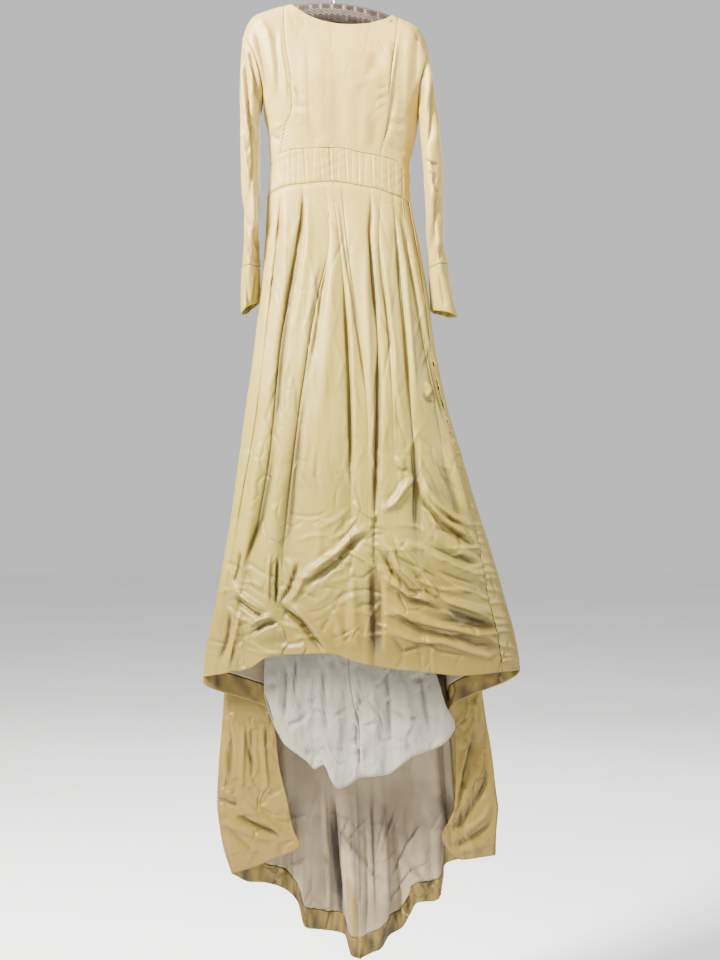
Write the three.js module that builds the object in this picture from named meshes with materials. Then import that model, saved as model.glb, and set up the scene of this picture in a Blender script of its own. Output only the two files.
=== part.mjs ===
// Wedding dress with a train, hanging on a padded hanger.
// Sizes are millimetres. X runs to the viewer's right, Y away from the viewer, Z up.
// The origin is the inside top of the hanger's hook. A drop is a distance below it.
// Left and right are the viewer's, looking at the front of the dress.
import * as THREE from 'three';

// Cloth and wire thickness
const SATIN = 1.2;
const THIN_CLOTH = 1.0;
const SEAM_GAP = 0.6;
const LAYER_GAP = 0.45;
const BAND_OVERLAP_GAP = 1.4;
const LINING_EDGE_GAP = 1.0;
const FACING_HEM_SETBACK = 1.5;
const SLIP_WAIST_SETBACK = 1.5;
const BAR_GAP = 0.7;
const WIRE_RADIUS = 2.0;

// Hook
const HOOK_INNER_RADIUS = 20;
const HOOK_START_DEGREES = -90;
const HOOK_END_DEGREES = 165;
const HOOK_STEPS = 20;
const WIRE_SIDES = 10;

// Padded bar: its top line is a shallow arch, a little lower on the right
const BAR = { left: -163, right: 180, topDrop: 75, tilt: 0.061, arch: 0.001314 };
const BAR_SIZE = {
  along: [0, 0.04, 0.14, 0.5, 0.86, 0.96, 1],
  halfThick: [4, 9, 14, 18, 14, 9, 4],
  halfHigh: [8, 16, 23.6, 24, 23.6, 16, 8],
};
const BAR_STATIONS = 20;
const BAR_SIDES = 18;

// Side edges of the dress and how deep its front and back stand, by drop
const SIDES = {
  drop: [328, 372, 406, 431, 498, 620, 730, 840, 950, 1059, 1168, 1276, 1385, 1493, 1560],
  left: [-153, -143, -141, -139, -145, -151, -162, -175, -191, -204, -218, -234, -254, -277, -284],
  right: [185, 180, 172, 167, 168, 188, 206, 222, 245, 277, 308, 342, 372, 400, 407],
  y: [0, 0, 0, 0, 0, -8, -14, -18, -24, -30, -35, -38, -42, -45, -46],
};
const DEPTH = {
  drop: [75, 130, 200, 260, 320, 380, 430, 500, 620, 800, 1000, 1200, 1400, 1560, 2200],
  front: [27, 29, 46, 55, 52, 46, 42, 42, 58, 80, 100, 118, 132, 142, 142],
  back: [27, 28, 31, 34, 33, 30, 28, 28, 36, 44, 52, 58, 62, 64, 62],
  squareness: [3, 3, 3, 3, 3, 3, 3, 3, 2.8, 2.6, 2.4, 2.3, 2.2, 2.2, 2.2],
};

// Shoulder line beyond the bar's two tips, where the cloth falls over them
const SHOULDER_LEFT = {
  x: [-200, -196, -189, -180, -169, -150],
  drop: [150, 137, 122, 109, 100, 93.3],
};
const SHOULDER_RIGHT = {
  x: [160, 172, 184, 194, 201, 206, 208],
  drop: [116.3, 122, 130, 143, 158, 175, 190],
};
const SHOULDER_ROLL = 30;
const NECK = {
  x: [-93, -76, -58, -40, -20, 17, 42, 71, 100, 115, 126],
  front: [82.2, 98, 110, 118, 124, 130, 131, 129, 122, 116, 105],
};
const BACK_NECK_BELOW_BAR = 10;

// Shaped seams of the bodice front, by drop
const BUST_SEAMS = {
  drop: [75, 130, 178, 250, 317, 355, 410],
  left: [-110, -108, -104, -93, -91, -106, -118],
  right: [141, 139, 133, 124, 120, 115, 104],
  neckLeft: [-93, -93, -93, -93, -93, -93, -93],
  neckRight: [126, 126, 126, 126, 126, 126, 126],
};

// Armholes and sleeves: outer and inner edge of each hanging sleeve, by drop
const ARMHOLE = { leftTop: 150, rightTop: 190, bottom: 328, steepness: 2.2, steps: 8 };
const SLEEVE_LEFT = {
  drop: [110, 150, 200, 266, 345, 431, 497, 541, 601, 658, 706, 760],
  outer: [-192, -200, -205, -207, -206, -205, -202, -196, -198, -202, -205, -205],
  inner: [-152, -152, -152, -153, -163, -163, -162, -162, -163, -161, -162, -170],
  halfDepth: [20, 24, 30, 40, 50, 50, 48, 47, 45, 42, 41, 40],
};
const SLEEVE_RIGHT = {
  drop: [140, 190, 253, 310, 345, 416, 486, 541, 596, 640, 673, 717, 765],
  outer: [198, 208, 220, 227, 231, 237, 239, 240, 240, 249, 253, 260, 273],
  inner: [182, 183, 184, 184, 187, 194, 199, 202, 204, 207, 207, 210, 213],
  halfDepth: [20, 28, 38, 46, 50, 50, 48, 47, 45, 43, 42, 41, 42],
};
const SLEEVE_COLUMNS = 16;
const SLEEVE_ROWS = [0, 0.04, 0.1, 0.18, 0.26, 0.34, 0.42, 0.5, 0.58, 0.66, 0.75, 0.84, 0.92, 1];
const SLEEVE_FOLDS = { count: 3, height: 4.5, turnPerMillimetre: 0.004 };
const CUFF_LEFT = { seamOuter: 658, seamInner: 658, endOuter: 760, endInner: 736 };
const CUFF_RIGHT = { seamOuter: 649, seamInner: 662, endOuter: 765, endInner: 753 };
const CUFF_ROWS = [0, 0.25, 0.5, 0.75, 1];
const CUFF_SLIT = { top: 1.0, bottom: 7 };

// Seam lines of the midriff band, by x
const BAND_TOP = {
  x: [-139, -116, -91, -66, -20, 17, 55, 117, 151, 164],
  drop: [431, 412, 405, 404, 403, 404, 412, 423, 436, 457],
};
const WAIST = {
  x: [-145, -113, -91, -64, -8, 25, 64, 96, 125, 151, 168],
  drop: [498, 485, 481, 480, 476, 479, 486, 491, 500, 508, 520],
};
const BAND_GATHERS = [
  -118, -105, -92, -79, -62, -45, -28, -7, 9, 27, 40, 54, 68, 84, 102, 117, 134, 150,
];
const BAND_GATHER_DEPTH = 1.6;
const BAND_ROWS = [0, 0.33, 0.67, 1];

// Pleat valleys of the skirt front: x at each drop, and their depth at each drop
const PLEAT_DROPS = [480, 600, 730, 840, 950, 1060, 1170, 1280, 1390, 1540];
const PLEATS = [
  {
    name: 'far left',
    x: [-114, -122, -137, -148, -161, -178, -198, -216, -235, -248],
    depth: [0, 7, 8, 8, 9, 9, 10, 10, 12, 14],
  },
  {
    name: 'left',
    x: [-65, -74, -97, -115, -124, -134, -151, -172, -200, -219],
    depth: [0, 12, 18, 18, 18, 20, 22, 22, 22, 20],
  },
  {
    name: 'left of middle',
    x: [-17, -9, -34, -55, -70, -84, -96, -106, -113, -96],
    depth: [0, 8, 14, 18, 20, 22, 24, 26, 28, 30],
  },
  {
    name: 'middle',
    x: [-2, 12, 24, 30, 35, 38, 39, 37, 30, 15],
    depth: [0, 7, 12, 14, 15, 15, 14, 13, 12, 12],
  },
  {
    name: 'short middle',
    x: [16, 27, 45, 62, 72, 76, 72, 66, 58, 52],
    depth: [0, 8, 12, 10, 6, 2, 0, 0, 0, 0],
  },
  {
    name: 'right of middle',
    x: [82, 80, 89, 95, 94, 90, 89, 87, 87, 87],
    depth: [0, 10, 16, 20, 22, 23, 24, 24, 24, 22],
  },
  {
    name: 'short right',
    x: [105, 98, 110, 120, 126, 130, 132, 134, 134, 134],
    depth: [0, 6, 9, 8, 5, 2, 0, 0, 0, 0],
  },
  {
    name: 'right',
    x: [128, 135, 144, 155, 163, 172, 176, 178, 182, 185],
    depth: [0, 8, 13, 16, 18, 20, 22, 24, 24, 22],
  },
  {
    name: 'far right',
    x: [146, 157, 176, 196, 218, 236, 250, 262, 272, 285],
    depth: [0, 8, 12, 14, 14, 15, 16, 16, 16, 14],
  },
];
const COLUMNS_PER_PLEAT = 4;
const PLEAT_ROUNDNESS = 0.75;
const FRONT_HEM = {
  x: [-285, -236, -178, -137, -69, -12, 17, 47, 145, 215, 271, 324, 362, 407],
  drop: [1549, 1537, 1523, 1499, 1491, 1489, 1495, 1506, 1523, 1531, 1537, 1535, 1533, 1533],
};
const RIGHT_SIDE_SEAM = {
  drop: [520, 620, 730, 840, 900, 1015, 1081, 1178, 1264, 1382, 1447, 1540],
  x: [164, 181, 197, 211, 222, 252, 272, 294, 313, 333, 350, 364],
};

// Inward side folds of the back: inner fold line and outer fold line, by drop
const FOLD_LEFT = {
  drop: [498, 620, 700, 800, 900, 1100, 1300, 1500, 1627, 1727, 1826, 1882, 1937, 1991],
  innerX: [-143.3, -150.5, -152, -146, -143, -142, -143, -143, -141, -141, -141, -141, -141, -141],
  innerY: [5, 2, 0, -3, -5, -12, -20, -27, -30, -30, -30, -30, -30, -30],
  outerX: [-134.7, -145, -154, -165, -173, -195, -218, -236, -243, -252, -257, -252, -242, -224],
  outerY: [12, 12, 12, 11, 10, 7, 3, -3, -6, -7, -6, -4, -2, 2],
};
const FOLD_RIGHT = {
  drop: [520, 620, 700, 800, 900, 1100, 1300, 1500, 1629, 1743, 1815, 1842, 1893, 1950],
  innerX: [166.3, 187.5, 190, 192, 197, 210, 226, 238, 249, 249, 249, 249, 249, 249],
  innerY: [5, 2, 0, -3, -5, -12, -20, -27, -30, -30, -30, -30, -30, -30],
  outerX: [157.7, 182, 195, 212, 226, 256, 290, 316, 330, 349, 357, 362, 358, 356],
  outerY: [12, 12, 12, 11, 10, 7, 3, -3, -6, -7, -6, -4, -2, 2],
};

// Free hem edge of each fold, from the inner fold (share 0) round to the outer fold (share 1)
const LIP_LEFT = {
  share: [0, 0.2, 0.35, 0.48, 0.58, 0.66, 0.75, 0.85, 1],
  x: [-141, -129, -120, -102, -89, -74, -124, -174, -224],
  drop: [1627, 1672, 1747, 1824, 1890, 1927, 1953, 1974, 1991],
};
const LIP_RIGHT = {
  share: [0, 0.2, 0.35, 0.48, 0.58, 0.66, 0.75, 0.85, 1],
  x: [249, 264, 267, 266, 262, 237, 280, 320, 356],
  drop: [1629, 1662, 1722, 1790, 1850, 1905, 1958, 1954, 1950],
};
const LIP_START = 1430;
const LIP_SWEEP = 3;
const FOLD_COLUMNS = [0.2, 0.4, 0.6, 0.8, 0.92];

// Hem of the train from each outer fold to the centre back, with the wave of each column
const TRAIN_LEFT = {
  x: [-188, -155, -110, -80, -64, -30, 0, 24, 38],
  drop: [2014, 2020, 2035, 2063, 2122, 2134, 2141, 2145, 2190],
  wave: [6, 12, 2, -10, -6, 8, 14, 2, -8],
};
const TRAIN_RIGHT = {
  x: [293, 248, 238, 229, 189, 171, 154, 122, 104, 84],
  drop: [1963, 1984, 2030, 2057, 2066, 2098, 2130, 2148, 2174, 2184],
  wave: [8, 12, 2, -10, -6, 6, 14, 4, -8, -4],
};
const CENTRE_BACK = { topX: 12, topDrop: 508, hemX: 55, hemDrop: 2196, wave: -10 };
const SKIRT_ROWS = 17;
const HEM_BAND = 46;
const LINING_FIRST_ROW = 12;

// Underskirt: a flattened tube inside the skirt, cut as two front panels and a back
const SLIP = {
  drop: [478, 500, 520, 560, 620, 800, 1000, 1300, 1515, 1569, 1603, 1651, 1800],
  left: [-141.5, -141.5, -140.5, -137, -131, -126, -124, -132, -149, -151, -151, -151, -151],
  right: [164.5, 164.5, 163.5, 162, 160, 172, 186, 206, 216, 227, 238, 262, 268],
  inset: [2.2, 2.4, 7, 15, 24, 38, 50, 62, 66, 66, 66, 66, 66],
  backY: [25.6, 25.4, 20, 14, 10, 6, 2, -3, -6, -6, -6, -6, -6],
  middleY: [0, 0, 0, -4, -10, -22, -36, -50, -58, -60, -60, -60, -60],
};
const SLIP_HEM = {
  x: [-151, -136, -124, -106, -76, -55, -40, -20, -5, 10, 33, 59, 118, 143, 169, 228, 253, 268],
  front: [
    1575, 1612, 1655, 1690, 1713, 1730, 1745, 1734, 1767, 1786, 1780, 1762, 1756, 1739, 1719, 1698,
    1680, 1659,
  ],
};
const SLIP_BACK_HEM_DROP = 1690;
const SLIP_FRONT_COLUMNS = 20;
const SLIP_BACK_COLUMNS = 12;
const SLIP_ROWS = 12;
const SLIP_FOLD = { count: 5, height: 4 };

// Column counts of the bodice and the share of each row between shoulder and underarm
const SIDE_PANEL_COLUMNS = 5;
const CENTRE_PANEL_COLUMNS = 14;
const BACK_PANEL = [
  { lines: ['left edge', 'neckLeft'], shares: [0, 0.12, 0.3, 0.55, 0.8, 1] },
  { lines: ['neckLeft', 'neckRight'], shares: [0.04, 0.12, 0.26, 0.42, 0.58, 0.74, 0.88, 0.96, 1] },
  { lines: ['neckRight', 'right edge'], shares: [0.2, 0.45, 0.7, 0.88, 1] },
];
const MIDRIFF_BACK_COLUMNS = 18;
const LOWER_BODICE_ROWS = [0.33, 0.67, 1];

const COLOURS = {
  satin: '#dccb9f',
  satinDeep: '#bfae72',
  lining: '#cbbfa4',
  facing: '#c9b478',
  slip: '#e9e6da',
  cover: '#6f6257',
  metal: '#a8a8a6',
};

const group = new THREE.Group();
group.name = 'wedding_dress';

function mix(a, b, share) {
  return a + (b - a) * share;
}

function clamp(value, low, high) {
  return Math.min(high, Math.max(low, value));
}

// Smooth reading of a table: never overshoots the values on either side
function lookUp(keys, values, key) {
  const last = keys.length - 1;
  if (key <= keys[0]) return values[0];
  if (key >= keys[last]) return values[last];
  let i = 0;
  while (key > keys[i + 1]) i += 1;
  const slope = (k) => (values[k + 1] - values[k]) / (keys[k + 1] - keys[k]);
  const tangent = (k) => {
    if (k === 0) return slope(0);
    if (k === last) return slope(last - 1);
    const before = slope(k - 1);
    const after = slope(k);
    return before * after <= 0 ? 0 : (2 * before * after) / (before + after);
  };
  const width = keys[i + 1] - keys[i];
  const t = (key - keys[i]) / width;
  const t2 = t * t;
  const t3 = t2 * t;
  return (
    (2 * t3 - 3 * t2 + 1) * values[i] +
    (t3 - 2 * t2 + t) * width * tangent(i) +
    (3 * t2 - 2 * t3) * values[i + 1] +
    (t3 - t2) * width * tangent(i + 1)
  );
}

function unit(v) {
  const length = Math.hypot(v[0], v[1], v[2]) || 1;
  return [v[0] / length, v[1] / length, v[2] / length];
}

function cross(a, b) {
  return [a[1] * b[2] - a[2] * b[1], a[2] * b[0] - a[0] * b[2], a[0] * b[1] - a[1] * b[0]];
}

function minus(a, b) {
  return [a[0] - b[0], a[1] - b[1], a[2] - b[2]];
}

function move(point, direction, distance) {
  return [
    point[0] + direction[0] * distance,
    point[1] + direction[1] * distance,
    point[2] + direction[2] * distance,
  ];
}

function between(a, b, share) {
  return [mix(a[0], b[0], share), mix(a[1], b[1], share), mix(a[2], b[2], share)];
}

// Outward directions at the points of a grid whose rows run down the cloth: the faces that meet
// at a point are averaged by their angles on each side of its column, then both sides equally
function directions(grid, closed) {
  const columns = grid[0].length;
  const start = () => grid.map((row) => row.map(() => [0, 0, 0]));
  const sums = { before: start(), after: start() };
  const add = (column, ...places) => {
    const points = places.map(([r, c]) => grid[r][c]);
    const facing = unit(cross(minus(points[1], points[0]), minus(points[2], points[0])));
    places.forEach(([r, c], i) => {
      const one = unit(minus(points[(i + 1) % 3], points[i]));
      const two = unit(minus(points[(i + 2) % 3], points[i]));
      const angle = Math.acos(clamp(one[0] * two[0] + one[1] * two[1] + one[2] * two[2], -1, 1));
      const side = c === column ? sums.after : sums.before;
      side[r][c] = move(side[r][c], facing, angle);
    });
  };
  for (let r = 0; r < grid.length - 1; r += 1) {
    for (let c = 0; c < (closed ? columns : columns - 1); c += 1) {
      const next = (c + 1) % columns;
      add(c, [r, c], [r + 1, c], [r, next]);
      add(c, [r, next], [r + 1, c], [r + 1, next]);
    }
  }
  return sums.before.map((row, r) =>
    row.map((before, c) => {
      const after = sums.after[r][c];
      const hasBefore = Math.hypot(...before) > 0 ? unit(before) : [0, 0, 0];
      const hasAfter = Math.hypot(...after) > 0 ? unit(after) : [0, 0, 0];
      return unit(move(hasBefore, hasAfter, 1));
    }),
  );
}

function toMesh(name, corners, triangles, colour) {
  const geometry = new THREE.BufferGeometry();
  geometry.setAttribute('position', new THREE.Float32BufferAttribute(corners.flat(), 3));
  geometry.setIndex(triangles.flat());
  geometry.computeVertexNormals();
  const material = new THREE.MeshStandardMaterial({ color: colour, roughness: 0.6 });
  const mesh = new THREE.Mesh(geometry, material);
  mesh.name = name;
  group.add(mesh);
}

// A cloth wall: the grid is its outer face, the inner face lies one thickness inside it
function wall(name, grid, outward, thickness, colour, closed = false) {
  const rows = grid.length;
  const columns = grid[0].length;
  const outer = grid.flat();
  const inner = outer.map((point, i) => move(point, outward.flat()[i], -thickness));
  const half = outer.length;
  const at = (r, c) => r * columns + (c % columns);
  const triangles = [];
  const spans = closed ? columns : columns - 1;
  for (let r = 0; r < rows - 1; r += 1) {
    for (let c = 0; c < spans; c += 1) {
      const [a, b, d, e] = [at(r, c), at(r, c + 1), at(r + 1, c + 1), at(r + 1, c)];
      triangles.push([a, e, b], [b, e, d]);
      triangles.push([a + half, b + half, e + half], [b + half, d + half, e + half]);
    }
  }
  for (let c = 0; c < spans; c += 1) {
    const [a, b] = [at(0, c), at(0, c + 1)];
    const [e, d] = [at(rows - 1, c), at(rows - 1, c + 1)];
    triangles.push([a, b, b + half], [a, b + half, a + half]);
    triangles.push([d, e, e + half], [d, e + half, d + half]);
  }
  for (let r = 0; r < rows - 1 && !closed; r += 1) {
    const [a, e] = [at(r, 0), at(r + 1, 0)];
    const [b, d] = [at(r, columns - 1), at(r + 1, columns - 1)];
    triangles.push([e, a, a + half], [e, a + half, e + half]);
    triangles.push([b, d, d + half], [b, d + half, b + half]);
  }
  toMesh(name, [...outer, ...inner], triangles, colour);
}

// Moves a grid's edges inward along the cloth, to leave half a seam gap at each
function trim(grid, gaps) {
  const rows = grid.length;
  const columns = grid[0].length;
  const pull = (from, to, distance) => {
    const length = Math.hypot(...minus(to, from)) || 1;
    return between(from, to, Math.min(0.45, distance / length));
  };
  const byRow = grid.map((row, r) =>
    row.map((point, c) => {
      if (r === 0 && gaps.top) return pull(point, grid[1][c], gaps.top);
      if (r === rows - 1 && gaps.bottom) return pull(point, grid[rows - 2][c], gaps.bottom);
      return point;
    }),
  );
  return byRow.map((row) =>
    row.map((point, c) => {
      if (c === 0 && gaps.left) return pull(point, row[1], gaps.left);
      if (c === columns - 1 && gaps.right) return pull(point, row[columns - 2], gaps.right);
      return point;
    }),
  );
}

function part(grid, firstRow, lastRow, firstColumn, lastColumn) {
  return grid.slice(firstRow, lastRow + 1).map((row) => row.slice(firstColumn, lastColumn + 1));
}

function inside(grid, outward, distance) {
  return grid.map((row, r) => row.map((point, c) => move(point, outward[r][c], -distance)));
}

// A solid rod or bar: rings of points in order along it, with a flat fan at each end
function bar(name, rings, colour) {
  const sides = rings[0].length;
  const corners = rings.flat();
  const triangles = [];
  for (let r = 0; r < rings.length - 1; r += 1) {
    for (let s = 0; s < sides; s += 1) {
      const next = (s + 1) % sides;
      const [a, b] = [r * sides + s, r * sides + next];
      const [e, d] = [a + sides, b + sides];
      triangles.push([a, b, e], [b, d, e]);
    }
  }
  const middleOf = (ring) => ring.reduce((sum, p) => move(sum, p, 1 / sides), [0, 0, 0]);
  const first = corners.length;
  corners.push(middleOf(rings[0]), middleOf(rings[rings.length - 1]));
  const lastRing = (rings.length - 1) * sides;
  for (let s = 0; s < sides; s += 1) {
    const next = (s + 1) % sides;
    triangles.push([first, next, s], [first + 1, lastRing + s, lastRing + next]);
  }
  toMesh(name, corners, triangles, colour);
}

// Hanger
function barTop(x) {
  return BAR.topDrop + BAR.tilt * x + BAR.arch * x * x;
}

function hangerPadding() {
  const rings = [];
  for (let i = 0; i <= BAR_STATIONS; i += 1) {
    const along = 0.5 - 0.5 * Math.cos((Math.PI * i) / BAR_STATIONS);
    const x = mix(BAR.left, BAR.right, along);
    const thick = lookUp(BAR_SIZE.along, BAR_SIZE.halfThick, along);
    const high = lookUp(BAR_SIZE.along, BAR_SIZE.halfHigh, along);
    const ring = [];
    for (let s = 0; s < BAR_SIDES; s += 1) {
      const angle = (2 * Math.PI * s) / BAR_SIDES;
      const y = -Math.sin(angle) * thick;
      const z = -(barTop(x) + BAR_SIZE.halfHigh[3] - Math.cos(angle) * high);
      ring.push([x, y, z]);
    }
    rings.push(ring);
  }
  bar('hanger_padding', rings, COLOURS.cover);
}

function hangerHook() {
  const radius = HOOK_INNER_RADIUS + WIRE_RADIUS;
  const path = [[0, -(BAR.topDrop - SEAM_GAP / 2)]];
  path.push([0, -(BAR.topDrop - 15)], [0, -(HOOK_INNER_RADIUS + radius + 6)]);
  for (let i = 1; i <= HOOK_STEPS; i += 1) {
    const degrees = mix(HOOK_START_DEGREES, HOOK_END_DEGREES, i / HOOK_STEPS);
    const angle = (degrees * Math.PI) / 180;
    path.push([radius * Math.cos(angle), radius * Math.sin(angle) - HOOK_INNER_RADIUS]);
  }
  const rings = path.map((point, i) => {
    const before = path[Math.max(i - 1, 0)];
    const after = path[Math.min(i + 1, path.length - 1)];
    const along = unit([after[0] - before[0], 0, after[1] - before[1]]);
    const ring = [];
    for (let s = 0; s < WIRE_SIDES; s += 1) {
      const angle = (2 * Math.PI * s) / WIRE_SIDES;
      const acrossX = along[2] * Math.cos(angle) * WIRE_RADIUS;
      const acrossZ = -along[0] * Math.cos(angle) * WIRE_RADIUS;
      ring.push([point[0] + acrossX, Math.sin(angle) * WIRE_RADIUS, point[1] + acrossZ]);
    }
    return ring;
  });
  bar('hanger_hook', rings, COLOURS.metal);
}

// Flattened section of the dress: y of its front or back at a place across it
function sectionY(x, drop, front) {
  const left = lookUp(SIDES.drop, SIDES.left, drop);
  const right = lookUp(SIDES.drop, SIDES.right, drop);
  const sideY = lookUp(SIDES.drop, SIDES.y, drop);
  const power = lookUp(DEPTH.drop, DEPTH.squareness, drop);
  const across = clamp(Math.abs((2 * (x - left)) / (right - left) - 1), 0, 1);
  const swell = Math.sqrt(1 - Math.pow(across, power));
  const depth = front
    ? -lookUp(DEPTH.drop, DEPTH.front, drop)
    : lookUp(DEPTH.drop, DEPTH.back, drop);
  return sideY + (depth - sideY) * swell;
}

// Shoulders and bodice
function shoulderDrop(x) {
  if (x < SHOULDER_LEFT.x[SHOULDER_LEFT.x.length - 1]) {
    return lookUp(SHOULDER_LEFT.x, SHOULDER_LEFT.drop, x);
  }
  if (x > SHOULDER_RIGHT.x[0]) return lookUp(SHOULDER_RIGHT.x, SHOULDER_RIGHT.drop, x);
  return barTop(x) - SATIN - BAR_GAP;
}

function topDrop(x, front) {
  const inNeck = x > NECK.x[0] && x < NECK.x[NECK.x.length - 1];
  if (!inNeck) return shoulderDrop(x);
  if (front) return lookUp(NECK.x, NECK.front, x);
  return Math.max(shoulderDrop(x), barTop(x) + BACK_NECK_BELOW_BAR * neckEase(x));
}

function neckEase(x) {
  const last = NECK.x[NECK.x.length - 1];
  const fromEnd = Math.min(x - NECK.x[0], last - x);
  return clamp(fromEnd / 25, 0, 1);
}

function sleevePoint(table, drop, angle) {
  const outer = lookUp(table.drop, table.outer, drop);
  const inner = lookUp(table.drop, table.inner, drop);
  const deep = lookUp(table.drop, table.halfDepth, drop);
  const turned = drop * SLEEVE_FOLDS.turnPerMillimetre * Math.PI;
  const fold = Math.cos(SLEEVE_FOLDS.count * angle + turned);
  const started = clamp((drop - ARMHOLE.bottom) / 120, 0, 1);
  const y = -Math.sin(angle) * (deep + SLEEVE_FOLDS.height * fold * started);
  const x = mix(inner, outer, 0.5 + 0.5 * Math.cos(angle));
  return [x, y, -drop];
}

function armholeShare(step) {
  return Math.pow(Math.abs(step) / ARMHOLE.steps, ARMHOLE.steepness);
}

// Edge of the bodice at one row: rows 0 to 8 follow the armhole, later rows the side seam
function bodiceEdge(row, leftSide, front, bandDrop) {
  const table = leftSide ? SLEEVE_LEFT : SLEEVE_RIGHT;
  const top = leftSide ? ARMHOLE.leftTop : ARMHOLE.rightTop;
  if (row <= ARMHOLE.steps) {
    const drop = mix(top, ARMHOLE.bottom, armholeShare(row));
    const angle = ((front ? 1 : -1) * Math.PI * row) / ARMHOLE.steps;
    const point = sleevePoint(table, drop, angle);
    const side = lookUp(SIDES.drop, leftSide ? SIDES.left : SIDES.right, drop);
    const settle = Math.pow(row / ARMHOLE.steps, 4);
    return { x: mix(point[0], side, settle), y: point[1], drop };
  }
  const share = LOWER_BODICE_ROWS[row - ARMHOLE.steps - 1];
  const drop = mix(ARMHOLE.bottom, bandDrop, share);
  return { x: lookUp(SIDES.drop, leftSide ? SIDES.left : SIDES.right, drop), y: 0, drop };
}

function bandTopDrop(x, front) {
  const lastX = BAND_TOP.x.length - 1;
  if (front) return lookUp(BAND_TOP.x, BAND_TOP.drop, x);
  const share = clamp((x - BAND_TOP.x[0]) / (BAND_TOP.x[lastX] - BAND_TOP.x[0]), 0, 1);
  return mix(BAND_TOP.drop[0], BAND_TOP.drop[lastX], share);
}

function waistDrop(x, front) {
  const lastX = WAIST.x.length - 1;
  if (front) return lookUp(WAIST.x, WAIST.drop, x);
  const share = clamp((x - WAIST.x[0]) / (WAIST.x[lastX] - WAIST.x[0]), 0, 1);
  return mix(WAIST.drop[0], WAIST.drop[lastX], share);
}

// One point of the bodice: share is its place between two edge lines given as x of drop
function bodicePoint(row, lines, share, front) {
  const lastX = BAND_TOP.x.length - 1;
  const leftEdge = bodiceEdge(row, true, front, BAND_TOP.drop[0]);
  const rightEdge = bodiceEdge(row, false, front, BAND_TOP.drop[lastX]);
  const lineX = (line, drop) => {
    if (line === 'left edge') return leftEdge.x;
    if (line === 'right edge') return rightEdge.x;
    return lookUp(BUST_SEAMS.drop, BUST_SEAMS[line], drop);
  };
  if (share === 0 && lines[0] === 'left edge') return [leftEdge.x, leftEdge.y, -leftEdge.drop];
  if (share === 1 && lines[1] === 'right edge') return [rightEdge.x, rightEdge.y, -rightEdge.drop];
  let drop = 200;
  let x = 0;
  for (let pass = 0; pass < 6; pass += 1) {
    x = mix(lineX(lines[0], drop), lineX(lines[1], drop), share);
    if (row <= ARMHOLE.steps) {
      drop = mix(topDrop(x, front), ARMHOLE.bottom, armholeShare(row));
    } else {
      const lower = LOWER_BODICE_ROWS[row - ARMHOLE.steps - 1];
      drop = mix(ARMHOLE.bottom, bandTopDrop(x, front), lower);
    }
  }
  const depth = lookUp(DEPTH.drop, front ? DEPTH.front : DEPTH.back, drop);
  const across = (x - leftEdge.x) / (rightEdge.x - leftEdge.x);
  const nearEdge = across < 0.5 ? leftEdge : rightEdge;
  const power = lookUp(DEPTH.drop, DEPTH.squareness, drop);
  const swell = Math.sqrt(1 - Math.pow(Math.abs(2 * across - 1), power));
  const edgeDepth = Math.abs(nearEdge.y);
  const rolled = clamp((drop - shoulderDrop(x)) / SHOULDER_ROLL, 0, 1);
  const roll = Math.sqrt(1 - (1 - rolled) * (1 - rolled));
  const out = mix(edgeDepth, depth, swell) * roll;
  return [x, front ? -out : out, -drop];
}

function bodiceGrid(columns, front) {
  const rows = ARMHOLE.steps + 1 + LOWER_BODICE_ROWS.length;
  const grid = [];
  for (let row = 0; row < rows; row += 1) {
    grid.push(columns.map(([lines, share]) => bodicePoint(row, lines, share, front)));
  }
  return grid;
}

// At a seam between front and back the wall's end stands square to the seam
function squareToSeam(grid, outward, isSeam) {
  return outward.map((row, r) =>
    row.map((direction, c) => {
      if (!isSeam(r, c, grid[r][c])) return direction;
      return unit([direction[0], 0, direction[2]]);
    }),
  );
}

function onShoulder(r, point) {
  return r === 0 && (point[0] <= NECK.x[0] || point[0] >= NECK.x[NECK.x.length - 1]);
}

function bodice() {
  const columns = [];
  const pairs = [
    { lines: ['left edge', 'left'], count: SIDE_PANEL_COLUMNS },
    { lines: ['left', 'right'], count: CENTRE_PANEL_COLUMNS },
    { lines: ['right', 'right edge'], count: SIDE_PANEL_COLUMNS },
  ];
  pairs.forEach(({ lines, count }, p) => {
    for (let i = p === 0 ? 0 : 1; i <= count; i += 1) columns.push([lines, i / count]);
  });
  const front = bodiceGrid(columns, true);
  const last = columns.length - 1;
  const isSeam = (r, c, point) =>
    onShoulder(r, point) || (r >= ARMHOLE.steps && (c === 0 || c === last));
  const outward = squareToSeam(front, directions(front, false), isSeam);
  const lastRow = front.length - 1;
  const leftSeam = SIDE_PANEL_COLUMNS;
  const rightSeam = SIDE_PANEL_COLUMNS + CENTRE_PANEL_COLUMNS;
  const gap = SEAM_GAP / 2;
  const gaps = { top: gap, bottom: gap, left: gap, right: gap };
  const panels = [
    ['bodice_side_left', 0, leftSeam],
    ['bodice_centre_front', leftSeam, rightSeam],
    ['bodice_side_right', rightSeam, last],
  ];
  panels.forEach(([name, from, to]) => {
    const piece = trim(part(front, 0, lastRow, from, to), gaps);
    wall(name, piece, part(outward, 0, lastRow, from, to), SATIN, COLOURS.satin);
  });
  const backColumns = [];
  BACK_PANEL.forEach(({ lines, shares }) => {
    shares.forEach((share) => backColumns.unshift([lines, share]));
  });
  const back = bodiceGrid(backColumns, false);
  const lastBack = backColumns.length - 1;
  const isBackSeam = (r, c, point) =>
    onShoulder(r, point) || (r >= ARMHOLE.steps && (c === 0 || c === lastBack));
  const backward = squareToSeam(back, directions(back, false), isBackSeam);
  wall('bodice_back', trim(back, gaps), backward, SATIN, COLOURS.satin);
}

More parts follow.
